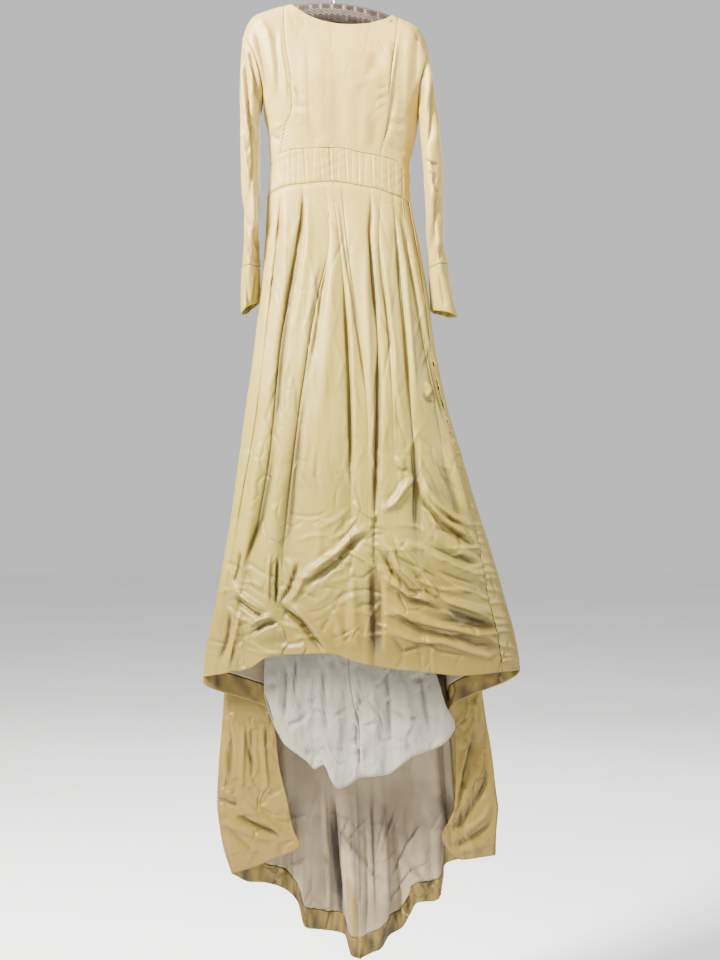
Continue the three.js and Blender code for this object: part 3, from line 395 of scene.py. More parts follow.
def pull_edges(grid, top=0.0, bottom=0.0, left=0.0, right=0.0):
    """Draws each edge back along the cloth, so that neighbours keep a seam's gap."""
    grid = grid.copy()
    edges = ((0, 0, 1, top), (0, -1, -2, bottom), (1, 0, 1, left), (1, -1, -2, right))
    for axis, at, following, gap in edges:
        edge = np.take(grid, at, axis=axis)
        inner = np.take(grid, following, axis=axis)
        far = np.maximum(np.linalg.norm(inner - edge, axis=-1, keepdims=True), 1e-6)
        moved = edge + (inner - edge) * np.minimum(0.45, gap / far)
        grid[(slice(None),) * axis + (at,)] = moved
    return grid


# %% [markdown]
# ## Materials
# Satin is smooth on the face and glows along its folds. Its colour runs down the dress, pale
# at the bodice and a deeper, yellower gold towards the hem, partly the satin's own tone and
# partly painted shade for its darker look low on the dress. The value kept on each point,
# called fold, is painted shade: it mixes in darker stops where the cloth creases in and on
# the side of each crease turned from the lamp. An image could hold all this, but procedural
# nodes stay sharp at any size and need no file.

# %% Node helpers
def new_material(name, roughness, specular=0.5):
    material = bpy.data.materials.new(name)
    material.use_nodes = True
    tree = material.node_tree
    shader = tree.nodes["Principled BSDF"]
    shader.inputs["Roughness"].default_value = roughness
    shader.inputs["Specular IOR Level"].default_value = specular
    return material, tree, shader


def put(tree, slot, value):
    """Links an output to a slot, or sets the slot to a plain value."""
    if isinstance(value, bpy.types.NodeSocket):
        tree.links.new(value, slot)
    else:
        slot.default_value = value


def node(tree, kind, **values):
    made = tree.nodes.new(kind)
    for key, value in values.items():
        if key in made.inputs:
            put(tree, made.inputs[key], value)
        else:
            setattr(made, key, value)
    return made


def math_node(tree, kind, operation, *values):
    made = node(tree, kind, operation=operation)
    for slot, value in zip(made.inputs, values):
        put(tree, slot, value)
    return made.outputs[0]


def ramp(tree, factor, stops):
    made = node(tree, "ShaderNodeValToRGB", Fac=factor)
    made.color_ramp.interpolation = "EASE"
    elements = made.color_ramp.elements
    while len(elements) < len(stops):
        elements.new(0.5)
    for element, (place, colour) in zip(elements, stops):
        element.position = place
        element.color = (*colour, 1)
    return made.outputs["Color"]


def blend_colours(tree, mode, factor, a, b):
    made = node(tree, "ShaderNodeMix", data_type="RGBA", blend_type=mode)
    for place, value in ((0, factor), (6, a), (7, b)):
        put(tree, made.inputs[place], (*value, 1) if isinstance(value, tuple) else value)
    return made.outputs[2]


def place_on(tree, kind):
    return tree.nodes.new("ShaderNodeTexCoord").outputs[kind]


def painted_shade_and_trellis_of(tree):
    return node(tree, "ShaderNodeAttribute", attribute_name="fold").outputs["Fac"]


def map_range(tree, value, low, high, **values):
    limits = {"From Min": low, "From Max": high}
    return node(tree, "ShaderNodeMapRange", Value=value, **limits, **values).outputs["Result"]


def drop_share(tree, low, high):
    parts = node(tree, "ShaderNodeSeparateXYZ", Vector=place_on(tree, "Object"))
    return map_range(tree, parts.outputs["Z"], low, high)


def noise(tree, vector, output="Fac", **values):
    return node(tree, "ShaderNodeTexNoise", Vector=vector, **values).outputs[output]


def patches(tree, size, seed, detail=4.0):
    place = (seed, seed * 0.7, seed * 0.3)
    moved = node(tree, "ShaderNodeMapping", Location=place, Vector=place_on(tree, "Object"))
    return noise(tree, moved.outputs[0], Scale=1.0 / size, Detail=detail, Roughness=0.55)


def bump(tree, height, strength, distance, **values):
    sizes = {"Height": height, "Strength": strength, "Distance": distance}
    return node(tree, "ShaderNodeBump", **sizes, **values).outputs["Normal"]


# %% [markdown]
# The surface of the cloth has three sizes of relief, one laid on the other. Threads are fine
# noise drawn out along the weave, wrinkles are broad soft noise, and the crumpled stretches
# are the edges of bent cells, stronger towards the hem, where the real dress was crushed most.

# %% Threads, wrinkles and crumples
THREAD_LONG, THREAD_HIGH = 0.16, 0.0004
WRINKLE_HIGH, WRINKLE_DOWN = 0.012, 0.35
CRUMPLE = dict(high=0.006, edge=0.13, bend=0.16, bend_scale=7.0, patch=0.09, above=0.2)
CRUSHED_FROM, CRUSHED_TO = -0.95, -1.45


def weave_bump(tree, shader, threads, strength, wrinkle, crumple):
    """Threads to a metre and their strength, then size or scale and strength of the rest."""
    scale = (threads, threads * THREAD_LONG, 1)
    stretched = node(tree, "ShaderNodeMapping", Scale=scale, Vector=place_on(tree, "UV"))
    fine = noise(tree, stretched.outputs[0], Scale=1.0, Detail=3.0, Roughness=0.6)
    normal = bump(tree, fine, strength, THREAD_HIGH)

    where = place_on(tree, "Object")
    squeezed = node(tree, "ShaderNodeMapping", Scale=(1, 1, WRINKLE_DOWN), Vector=where).outputs[0]
    soft = noise(tree, squeezed, Scale=1.0 / wrinkle[0], Detail=2.5, Roughness=0.45)
    normal = bump(tree, soft, wrinkle[1], WRINKLE_HIGH, Normal=normal)

    bent = noise(tree, where, "Color", Scale=CRUMPLE["bend_scale"], Detail=2.0)
    bend = (CRUMPLE["bend"],) * 3
    warped = math_node(tree, "ShaderNodeVectorMath", "MULTIPLY_ADD", bent, bend, squeezed)
    cells = node(
        tree, "ShaderNodeTexVoronoi", feature="DISTANCE_TO_EDGE", Scale=crumple[0], Vector=warped
    )
    distance = cells.outputs["Distance"]
    edges = map_range(tree, distance, 0, CRUMPLE["edge"], interpolation_type="SMOOTHSTEP")
    some = patches(tree, CRUMPLE["patch"], crumple[0], 2.0)
    some = ramp(tree, some, [(0.42, (0, 0, 0)), (0.62, (1, 1, 1))])
    lower = drop_share(tree, CRUSHED_FROM, CRUSHED_TO)
    least = crumple[1] * CRUMPLE["above"]
    worn = math_node(tree, "ShaderNodeMath", "MULTIPLY_ADD", lower, crumple[1] - least, least)
    seen = math_node(tree, "ShaderNodeMath", "MULTIPLY", worn, some)
    put(tree, shader.inputs["Normal"], bump(tree, edges, seen, CRUMPLE["high"], Normal=normal))


# %% Satin
SHOULDER_Z, HEM_Z = -0.07, -2.2
# Face colours from hem to shoulder, darker towards the hem: partly the satin's own tone, partly
# painted shade.
FACE = [
    (0.0, (0.120, 0.078, 0.013)),
    (0.22, (0.135, 0.090, 0.016)),
    (0.34, (0.150, 0.109, 0.020)),
    (0.48, (0.212, 0.166, 0.031)),
    (0.68, (0.292, 0.226, 0.049)),
    (0.86, (0.37, 0.272, 0.066)),
    (1.0, (0.385, 0.28, 0.074)),
]
# Darker colours for the painted shade inside folds, from hem to shoulder.
PAINTED_FOLD_SHADE = [
    (0.0, (0.020, 0.011, 0.002)),
    (0.35, (0.028, 0.018, 0.003)),
    (0.62, (0.070, 0.047, 0.009)),
    (0.86, (0.17, 0.115, 0.030)),
    (1.0, (0.20, 0.135, 0.042)),
]
STAIN = [(0.3, (0.86, 0.84, 0.78)), (0.7, (1.0, 1.0, 1.0))]
SATIN_GLOSS = {
    "Sheen Weight": 0.06,
    "Sheen Tint": (1.0, 0.88, 0.6, 1.0),
    "Sheen Roughness": 0.4,
    "Specular Tint": (1.0, 0.91, 0.66, 1.0),
}


def satin_material(name, stops, painted_shade_stops, roughness, seed):
    """Stops run from the hem up to the shoulder, for the face and for the painted shade inside
    folds.
    """
    material, tree, shader = new_material(name, roughness, 0.36)
    up = drop_share(tree, HEM_Z, SHOULDER_Z)
    face, deep = ramp(tree, up, stops), ramp(tree, up, painted_shade_stops)
    # Painted shade: the fold value mixes the face towards the darker stops.
    colour = blend_colours(tree, "MIX", painted_shade_and_trellis_of(tree), face, deep)
    stain = ramp(tree, patches(tree, 0.16, seed), STAIN)
    colour = blend_colours(tree, "MULTIPLY", 0.8, colour, stain)
    put(tree, shader.inputs["Base Color"], colour)
    for key, value in SATIN_GLOSS.items():
        shader.inputs[key].default_value = value
    weave_bump(tree, shader, 5200, 0.22, (0.045, 0.16), (17.0, 0.7))
    return material


satin = satin_material("champagne_satin", FACE, PAINTED_FOLD_SHADE, 0.44, 1.0)
print("satin made with", len(satin.node_tree.nodes), "nodes")

# %% [markdown]
# The lining of the train is a thin matt cloth, greyer than the satin, and the underskirt is a
# plain white. Where fold is above zero it paints shade into their colour. Where fold goes well
# below zero, the gold of the satin behind the lining shows through. The facing inside the hem
# is the same satin as the face, and painted shade makes it look browner there.

# %% Plain cloths
PAINTED_SHADE_TONE, SATIN_BEHIND = (0.10, 0.072, 0.042), (0.15, 0.104, 0.022)
THROUGH_FROM, THROUGH_ALL = -0.62, -1.0


def plain_cloth(name, light, dark, roughness, size, seed, crumple=0.12):
    material, tree, shader = new_material(name, roughness, 0.25)
    tone = ramp(tree, patches(tree, size, seed), [(0.3, dark), (0.68, light)])
    fold = painted_shade_and_trellis_of(tree)
    # Painted shade: the fold value darkens the tone in creases.
    colour = blend_colours(tree, "MULTIPLY", fold, tone, PAINTED_SHADE_TONE)
    through = map_range(tree, fold, THROUGH_FROM, THROUGH_ALL)
    colour = blend_colours(tree, "MIX", through, colour, SATIN_BEHIND)
    put(tree, shader.inputs["Base Color"], colour)
    shader.inputs["Sheen Weight"].default_value = 0.12
    shader.inputs["Sheen Roughness"].default_value = 0.6
    weave_bump(tree, shader, 3000, 0.3, (0.03, crumple), (14.0, crumple))
    return material


lining = plain_cloth("thin_lining", (0.21, 0.168, 0.096), (0.13, 0.10, 0.055), 0.6, 0.11, 3.0)
slip = plain_cloth(
    "white_underskirt", (0.235, 0.222, 0.178), (0.165, 0.153, 0.115), 0.7, 0.14, 5.0, 0.8
)
facing = satin_material(
    "facing_satin",
    [(0.0, (0.125, 0.082, 0.014)), (0.3, (0.14, 0.094, 0.018)), (1.0, (0.2, 0.14, 0.03))],
    [(0.0, (0.016, 0.009, 0.002)), (1.0, (0.03, 0.018, 0.003))],
    0.42,
    4.0,
)
print("plain cloths made:", lining.name, slip.name, facing.name)

# %% Settle a cloth piece into the model
def settle(thing, nodes, material):
    thing.data.materials.append(material)
    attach(thing, "root")
    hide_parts(*nodes)
    return thing


def report(name, grid):
    wide, long = lengths(grid, 1)[:, -1].max(), lengths(grid, 0)[-1].max()
    print(f"{name}: {wide:.0f} x {long:.0f} mm, {area_of(grid):.3f} m2, {grid[..., 0].size} points")


# %% [markdown]
# ## Hanger
# The hanger is a curved bar wrapped in padding, under a cover with a trellis of hexagons. The
# trellis is worked out on the mesh as the distance to the nearest hexagon's edge, so its lines
# can stand a little proud, as a jacquard's do. Each line is doubled by a finer one inside it.
# The hook is plain bent wire.

# %% Hexagon trellis
def hexagon_edge(u, v, size):
    """Distance in millimetres to the nearest side of a hexagon of that width."""
    high = size * math.sqrt(3)
    best = np.full(u.shape, FAR_AWAY)
    for shift_u, shift_v in ((0, 0), (size / 2, high / 2)):
        du = (u - shift_u + size / 2) % size - size / 2
        dv = (v - shift_v + high / 2) % high - high / 2
        reach = np.maximum(np.abs(du), np.abs(du) / 2 + np.abs(dv) * math.sqrt(3) / 2)
        best = np.minimum(best, reach)
    return size / 2 - best


TRELLIS = dict(size=25.0, shift=4, line=0.7, second=4.4, second_line=0.6, rise=0.5)
COVER_RADIUS = 21.0


def hanger_padding():
    stations = swing(np.linspace(0, 1, 150))[:, None]
    turn = np.linspace(0, 2 * np.pi, 81)[None, :]
    x = mix(BAR["left"], BAR["right"], stations)
    thick = read(BAR_SIZE["along"], BAR_SIZE["half_thick"], stations)
    high = read(BAR_SIZE["along"], BAR_SIZE["half_high"], stations)
    drop = bar_top(x) + max(BAR_SIZE["half_high"]) - np.cos(turn) * high
    grid = stack(x, -np.sin(turn) * thick, -drop)
    edge = hexagon_edge(x + TRELLIS["shift"], turn * COVER_RADIUS + 0 * x, TRELLIS["size"])
    outer = np.exp(-((edge / TRELLIS["line"]) ** 2))
    inner = np.exp(-(((edge - TRELLIS["second"]) / TRELLIS["second_line"]) ** 2))
    line = np.maximum(outer, inner)
    proud = TRELLIS["rise"] * (line + smooth_noise(grid, 14, 5))
    grid = grid + outward(grid, ring=True) * proud[..., None]
    grid[:, -1] = grid[:, 0]
    report("padded bar", grid)
    thing = cloth("padded_bar", grid, 0, line)
    thing.modifiers.clear()
    return thing


padding = hanger_padding()
cover, tree, shader = new_material("trellis_cover", 0.8, 0.12)
cover_tones = [(0.3, (0.022, 0.015, 0.011)), (0.7, (0.040, 0.029, 0.022))]
tone = ramp(tree, patches(tree, 0.02, 2.0), cover_tones)
colour = blend_colours(tree, "MIX", painted_shade_and_trellis_of(tree), tone, (0.15, 0.125, 0.10))
put(tree, shader.inputs["Base Color"], colour)
weave_bump(tree, shader, 2600, 0.5, (0.02, 0.1), (9.0, 0.1))
padding.data.materials.append(cover)
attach(padding, "root")
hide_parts("hanger_padding")

# %% Hook of bent wire
HOOK = dict(inner=20, wire=2, start=-90, end=165)


def hanger_hook():
    radius = HOOK["inner"] + HOOK["wire"]
    path = [(0, -(BAR["top"] - 0.3)), (0, -(BAR["top"] - 15)), (0, -(HOOK["inner"] + radius + 6))]
    for share in np.linspace(0, 1, 48)[1:]:
        angle = math.radians(mix(HOOK["start"], HOOK["end"], share))
        path.append((radius * math.cos(angle), radius * math.sin(angle) - HOOK["inner"]))
    curve = bpy.data.curves.new("wire_hook", "CURVE")
    curve.dimensions = "3D"
    curve.bevel_depth = HOOK["wire"] * MM
    curve.bevel_resolution = 5
    curve.use_fill_caps = True
    line = curve.splines.new("POLY")
    line.points.add(len(path) - 1)
    for point, (x, z) in zip(line.points, path):
        point.co = (x * MM, 0, z * MM, 1)
    line.use_smooth = True
    thing = bpy.data.objects.new("wire_hook", curve)
    bpy.context.scene.collection.objects.link(thing)
    return thing


hook = hanger_hook()
wire, tree, shader = new_material("hook_wire", 0.3)
shader.inputs["Metallic"].default_value = 1.0
scuff_tones = [(0.35, (0.36, 0.35, 0.33)), (0.65, (0.62, 0.61, 0.59))]
put(tree, shader.inputs["Base Color"], ramp(tree, patches(tree, 0.006, 1.0), scuff_tones))
hook.data.materials.append(wire)
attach(hook, "root")
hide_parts("hanger_hook")
print("hook wire", HOOK["wire"] * 2, "mm thick")

# %% [markdown]
# ## Bodice
# A maker cuts the bodice front in three: a centre panel and two side panels joined by curved
# bust seams. The armhole edge is the sleeve's own top line, so both are read from one table.
# Rows crowd together at the shoulder, where the cloth turns over the bar. Beside the armhole
# the panel follows its curve, and the shoulder line itself stays closed, front to back.

# %% Sizes of the shoulders, neck and sleeves
SHOULDER_LEFT = dict(
    x=[-200, -196, -189, -180, -169, -150],
    drop=[150, 137, 122, 109, 100, 93.3],
)
SHOULDER_RIGHT = dict(
    x=[160, 172, 184, 194, 201, 206, 208],
    drop=[116.3, 122, 130, 143, 158, 175, 190],
)
SHOULDER_ROLL, SHOULDER_STEPS = 30, 2.0
NECK = dict(
    x=[-93, -76, -58, -40, -20, 17, 42, 71, 100, 115, 126],
    front=[82.2, 98, 110, 118, 124, 130, 131, 129, 122, 116, 105],
)
BUST = dict(
    drop=[75, 130, 178, 250, 317, 355, 410],
    left=[-110, -108, -104, -93, -91, -106, -118],
    right=[141, 139, 133, 124, 120, 115, 104],
)
ARMHOLE = dict(left=150, right=190, bottom=328, steepness=2.2, steps=8, blend=0.09, unrolled=0.07)
LOWER_STEPS = 3
SLEEVE_LEFT = dict(
    drop=[110, 150, 200, 266, 345, 431, 497, 541, 601, 658, 706, 760],
    outer=[-192, -200, -205, -207, -206, -205, -202, -196, -198, -202, -205, -205],
    inner=[-152, -152, -152, -153, -163, -163, -162, -162, -163, -161, -162, -170],
    half_depth=[20, 24, 30, 40, 50, 50, 48, 47, 45, 42, 41, 40],
)
SLEEVE_RIGHT = dict(
    drop=[140, 190, 253, 310, 345, 416, 486, 541, 596, 640, 673, 717, 765],
    outer=[198, 208, 220, 227, 231, 237, 239, 240, 240, 249, 253, 260, 273],
    inner=[182, 183, 184, 184, 187, 194, 199, 202, 204, 207, 207, 210, 213],
    half_depth=[20, 28, 38, 46, 50, 50, 48, 47, 45, 43, 42, 41, 42],
)
SLEEVES = dict(left=SLEEVE_LEFT, right=SLEEVE_RIGHT)
BAND_TOP = dict(
    x=[-139, -116, -91, -66, -20, 17, 55, 117, 151, 164],
    drop=[431, 412, 405, 404, 403, 404, 412, 423, 436, 457],
)
WAIST = dict(
    x=[-145, -113, -91, -64, -8, 25, 64, 96, 125, 151, 168],
    drop=[498, 485, 481, 480, 476, 479, 486, 491, 500, 508, 520],
)

# %% Lines that the bodice is cut to
def shoulder_drop(x):
    flat = bar_top(x) - SATIN - BAR_GAP
    left = read(SHOULDER_LEFT["x"], SHOULDER_LEFT["drop"], x)
    right = read(SHOULDER_RIGHT["x"], SHOULDER_RIGHT["drop"], x)
    beyond_left, beyond_right = x < SHOULDER_LEFT["x"][-1], x > SHOULDER_RIGHT["x"][0]
    return np.where(beyond_left, left, np.where(beyond_right, right, flat))


def top_drop(x, front):
    first, last = NECK["x"][0], NECK["x"][-1]
    away = np.clip(np.minimum(x - first, last - x) / 25, 0, 1)
    neck = read(NECK["x"], NECK["front"], x)
    behind = np.maximum(shoulder_drop(x), bar_top(x) + 10 * away)
    return np.where((x > first) & (x < last), neck if front else behind, shoulder_drop(x))


def seam_drop(table, x, front):
    """A seam as its table says in front, and straight from end to end behind."""
    if front:
        return read(table["x"], table["drop"], x)
    share = np.clip((x - table["x"][0]) / (table["x"][-1] - table["x"][0]), 0, 1)
    return mix(table["drop"][0], table["drop"][-1], share)


def sleeve_point(side, drop, angle):
    """The flattened sleeve: angle 0 is its outer edge, and the front is above 0 on the left."""
    table = SLEEVES[side]
    outer = read(table["drop"], table["outer"], drop)
    inner = read(table["drop"], table["inner"], drop)
    deep = read(table["drop"], table["half_depth"], drop)
    fold = np.cos(3 * angle + drop * 0.004 * np.pi)
    started = np.clip((drop - ARMHOLE["bottom"]) / 120, 0, 1)
    x = mix(inner, outer, 0.5 + 0.5 * np.cos(angle))
    return x, -np.sin(angle) * (deep + 4.5 * fold * started)


# %% Armhole edge and panels, by steps from the shoulder to the band
def round_armhole(step):
    return np.clip(step, 0, ARMHOLE["steps"]) / ARMHOLE["steps"]


def towards_band(step):
    return np.clip((step - ARMHOLE["steps"]) / LOWER_STEPS, 0, 1)


def bodice_edge(step, side, front):
    around = round_armhole(step)
    drop = mix(ARMHOLE[side], ARMHOLE["bottom"], around ** ARMHOLE["steepness"])
    x, y = sleeve_point(side, drop, (1 if front else -1) * np.pi * around)
    x = mix(x, side_x(side, drop), around**4)
    band = BAND_TOP["drop"][0 if side == "left" else -1]
    lower = mix(ARMHOLE["bottom"], band, towards_band(step))
    below = step > ARMHOLE["steps"]
    x, y = np.where(below, side_x(side, lower), x), np.where(below, 0, y)
    return x, y, np.where(below, lower, drop)


def bodice_panel(steps, shares, lines, front):
    step, share = steps[:, None], shares[None, :]
    edges = {side + " edge": bodice_edge(step, side, front) for side in ("left", "right")}

    def line_x(line, drop):
        if line in edges:
            return edges[line][0] + 0 * drop
        return read(BUST["drop"], BUST[line], drop)

    drop = 200 + 0 * (step + share)
    armhole = round_armhole(step) ** ARMHOLE["steepness"]
    for _ in range(8):
        x = mix(line_x(lines[0], drop), line_x(lines[1], drop), share)
        upper = mix(top_drop(x, front), ARMHOLE["bottom"], armhole)
        lower = mix(ARMHOLE["bottom"], seam_drop(BAND_TOP, x, front), towards_band(step))
        drop = np.where(step <= ARMHOLE["steps"], upper, lower)
    (left_x, left_y, left_drop), (right_x, right_y, right_drop) = edges.values()
    across = (x - left_x) / (right_x - left_x)
    from_edge = np.minimum(across, 1 - across)
    opened = ease(step / SHOULDER_STEPS)
    edge_drop = np.where(across < 0.5, left_drop, right_drop)
    blend = np.maximum(ARMHOLE["blend"] * opened, 1e-4)
    drop = mix(edge_drop, drop, np.clip(from_edge / blend, 0, 1))
    near = np.where(across < 0.5, np.abs(left_y), np.abs(right_y))
    swell = np.sqrt(np.clip(1 - np.abs(2 * across - 1) ** depth_of("squareness", drop), 0, 1))
    rolled = np.clip((drop - shoulder_drop(x)) / SHOULDER_ROLL, 0, 1)
    deep = depth_of("front" if front else "back", drop)
    middle = mix(near, deep, swell) * np.sqrt(1 - (1 - rolled) ** 2)
    out = mix(mix(near, deep * opened, swell), middle, ease(from_edge / ARMHOLE["unrolled"]))
    return stack(x, -out if front else out, -drop)


# %% Cut the three front panels and the back
even_steps = np.linspace(0, ARMHOLE["steps"], 30)
crowded = ARMHOLE["steps"] * np.linspace(0, 1, 40) ** (1 / ARMHOLE["steepness"])
lower_steps = np.linspace(ARMHOLE["steps"], ARMHOLE["steps"] + LOWER_STEPS, 42)[1:]
bodice_rows = np.concatenate([np.unique(np.concatenate([even_steps, crowded])), lower_steps])
across_side, across_centre = np.linspace(0, 1, 42), np.linspace(0, 1, 124)
across_back = swing(np.linspace(0, 1, 84))[::-1]
side_left = bodice_panel(bodice_rows, across_side, ("left edge", "left"), True)
centre = bodice_panel(bodice_rows, across_centre, ("left", "right"), True)
side_right = bodice_panel(bodice_rows, across_side, ("right", "right edge"), True)
back = bodice_panel(bodice_rows, across_back, ("left edge", "right edge"), False)
report("bodice centre", centre)

# %% [markdown]
# The bust seams draw the cloth into short gathers between bust and armhole, and long soft
# drags run from them. On the right, a broad shallow fold comes down from the shoulder.

# %% Creases of the bodice front
CENTRE_CREASES = [
    Crease(2.6, 9, 5, [(-92, 250), (-84, 282), (-78, 300)]),
    Crease(-2.6, 6, 5, [(-90, 262), (-76, 276), (-62, 282)]),
    Crease(2.2, 5, 5, [(-90, 276), (-76, 290), (-60, 296)]),
    Crease(-2.2, 5, 5, [(-90, 292), (-74, 304), (-58, 308)]),
    Crease(1.8, 5, 5, [(-90, 306), (-76, 318), (-62, 322)]),
    Crease(3.2, 20, 9, [(-70, 140), (-66, 220), (-64, 300), (-60, 380)]),
    Crease(-3.0, 16, 22, [(-74, 330), (-56, 350), (-42, 366), (-30, 384)]),
    Crease(2.4, 26, 18, [(-30, 150), (-34, 220), (-30, 300), (-28, 390)]),
    Crease(-2.0, 16, 26, [(0, 150), (4, 240), (6, 330), (6, 390)]),
    Crease(2.2, 24, 20, [(40, 150), (38, 240), (36, 330), (36, 396)]),
    Crease(-3.2, 16, 20, [(84, 170), (82, 210), (72, 246), (40, 268)]),
    Crease(3.4, 12, 18, [(112, 232), (80, 240), (50, 254), (30, 266)]),
    Crease(-2.6, 14, 20, [(98, 176), (92, 200), (88, 226)]),
    Crease(3.2, 16, 12, [(122, 150), (120, 190), (118, 240)]),
    Crease(-2.6, 5, 5, [(118, 258), (106, 262), (96, 262)]),
    Crease(2.2, 5, 5, [(118, 268), (106, 272), (92, 274)]),
    Crease(-2.4, 5, 5, [(118, 280), (104, 284), (92, 286)]),
    Crease(2.0, 6, 5, [(118, 292), (104, 298), (88, 304)]),
    Crease(-2.2, 16, 12, [(96, 320), (90, 350), (84, 400)]),
    Crease(2.6, 14, 18, [(66, 300), (66, 350), (64, 404)]),
]
SIDE_LEFT_CREASES = [
    Crease(3.8, 9, 6, [(-120, 110), (-118, 180), (-106, 250), (-104, 310)]),
    Crease(-7.0, 12, 10, [(-182, 112), (-168, 150), (-158, 200), (-154, 250), (-156, 300)]),
    Crease(5.0, 12, 10, [(-150, 112), (-142, 160), (-134, 220), (-134, 300)]),
    Crease(4.6, 10, 8, [(-168, 106), (-150, 128), (-140, 160)]),
    Crease(-3.2, 8, 12, [(-130, 120), (-124, 200), (-118, 280)]),
    Crease(-3.6, 10, 8, [(-140, 362), (-128, 372), (-116, 374)]),
    Crease(3.0, 8, 10, [(-144, 346), (-130, 350), (-112, 340)]),
]
SIDE_RIGHT_CREASES = [
    Crease(5.0, 8, 6, [(142, 140), (134, 200), (124, 260), (112, 320), (104, 360)]),
    Crease(-4.6, 7, 9, [(136, 250), (130, 290), (124, 330), (106, 390)]),
    Crease(-4.0, 12, 9, [(190, 126), (184, 160), (182, 200), (180, 260)]),
    Crease(4.4, 12, 12, [(166, 120), (162, 180), (160, 250), (160, 330)]),
    Crease(3.0, 6, 6, [(126, 318), (140, 326), (156, 330)]),
    Crease(-3.0, 6, 6, [(124, 330), (138, 340), (154, 346)]),
    Crease(2.6, 6, 6, [(122, 346), (136, 356), (152, 362)]),
    Crease(-2.6, 10, 10, [(120, 380), (138, 396), (158, 408)]),
]
BACK_CREASES = [
    Crease(3.0, 22, 14, [(60, 120), (64, 220), (58, 330), (54, 400)]),
    Crease(-3.0, 16, 22, [(20, 130), (16, 240), (20, 380)]),
    Crease(3.2, 16, 22, [(-46, 120), (-50, 230), (-44, 390)]),
    Crease(-3.6, 12, 16, [(-100, 150), (-84, 230), (-60, 300)]),
    Crease(-3.6, 16, 12, [(132, 160), (116, 240), (92, 310)]),
    Crease(3.0, 14, 14, [(-130, 330), (-96, 352), (-50, 360)]),
    Crease(3.0, 14, 14, [(160, 330), (126, 354), (80, 364)]),
]

# %% Press, seam and settle each bodice panel
BODICE_PRESS = 0.6


def soften(grid, rise, size, seed, stretch=(1, 1, 1)):
    return grid + outward(grid) * (rise * smooth_noise(grid, size, seed, stretch))[..., None]


def finish_bodice(name, node_name, grid, creases, edges, seed, turned=1.0):
    grid = soften(grid, 0.7, 34, seed, (1, 1, 3))
    across = lengths(grid, 1)
    fade = 1.0
    if len(edges) == 1:
        fade = ease((across if edges == ["right"] else across[:, -1:] - across) / 16)
    creases = scaled(creases, BODICE_PRESS)
    grid, shade = press(grid, creases, np.zeros(grid.shape[:2]), turned, fade)
    for edge in edges:
        grid = pucker(grid, edge, 0.7, 9, 9, seed)
    grid = seam_dip(grid, edges, 0.9, 3.0)
    grid = pull_edges(grid, bottom=0.15, left=0.15, right=0.15)
    report(name, grid)
    thing = cloth(name, grid, SATIN, shade)
    settle(thing, [node_name], satin)


finish_bodice(
    "front_centre_panel", "bodice_centre_front", centre, CENTRE_CREASES,
    ["left", "right"], 11,
)
finish_bodice(
    "front_left_panel", "bodice_side_left", side_left, SIDE_LEFT_CREASES,
    ["right"], 12,
)
finish_bodice(
    "front_right_panel", "bodice_side_right", side_right, SIDE_RIGHT_CREASES,
    ["left"], 13,
)
finish_bodice(
    "back_panel", "bodice_back", back, BACK_CREASES, [], 14, turned=-1.0
)

# %% [markdown]
# ## Midriff band
# The band between bodice and skirt is cut wider than it finishes and drawn up, so it lies in
# uneven vertical gathers. Each gather is a groove of its own depth, closer at the ends.

# %% Gathered band, front and back
GATHERS = dict(
    x=[-118, -105, -92, -79, -62, -45, -28, -7, 9, 27, 40, 54, 68, 84, 102, 117, 134, 150],
    deep=[0.8, 0.6, 1.2, 0.5, 1.4, 0.7, 0.9, 2.2, 0.6, 1.2, 0.6, 1.1, 0.7, 1.2, 0.5, 0.9, 0.6, 0.8],
)
GROOVE, RIDGE, RIDGE_AWAY = 1.9, 3.0, 4.5


def midriff_band(front):
    shares = np.linspace(0, 1, 240) if front else swing(np.linspace(0, 1, 110))
    down = np.linspace(0, 1, 34)[:, None]
    place = shares[None, :]
    drop = 450 + 0 * (down + place)
    for _ in range(8):
        x = mix(side_x("left", drop), side_x("right", drop), place)
        drop = mix(seam_drop(BAND_TOP, x, front), seam_drop(WAIST, x, front), down)
    grid = stack(x, section_y(x, drop, front), -drop)
    return grid if front else grid[:, ::-1]


def gather(grid, seed):
    rise = np.zeros(grid.shape[:2])
    down = np.linspace(0, 1, grid.shape[0])[:, None]
    rng = np.random.default_rng(seed)
    for x, deep in zip(GATHERS["x"], GATHERS["deep"]):
        far = grid[..., 0] - x - rng.uniform(-5, 5) * (down - 0.5)
        start = rng.uniform(-0.3, 0.3)
        fade = 0.55 + 0.45 * np.sin(np.pi * np.clip(down * 1.1 + start, 0, 1))
        rise -= deep * np.exp(-((far / GROOVE) ** 2)) * fade
        rise += 0.6 * deep * np.exp(-(((far - RIDGE_AWAY) / RIDGE) ** 2)) * fade
    # Painted shade in the grooves comes back with the grid.
    return grid + outward(grid) * rise[..., None], np.clip(-rise / 5, -0.2, 0.5)


for name, node_name, in_front, seed in (
    ("midriff_front_band", "midriff_front", True, 21),
    ("midriff_back_band", "midriff_back", False, 23),
):
    grid, shade = gather(midriff_band(in_front), seed)
    grid = seam_dip(soften(grid, 0.4, 16, seed + 1), ["top", "bottom"], 0.9, 3)
    grid = pull_edges(grid, 0.6, 0.3, 0.3, 0.3)
    report(name, grid)
    thing = cloth(name, grid, SATIN, shade)
    settle(thing, [node_name], satin)


# %% [markdown]
# ## Sleeves and cuffs
# Each sleeve hangs as a flattened tube. It starts along the armhole, and folds run round it in
# slow diagonals from the shoulder and at the elbow. The cuff is cut on a slant and left open
# in a short slit on its inner side.

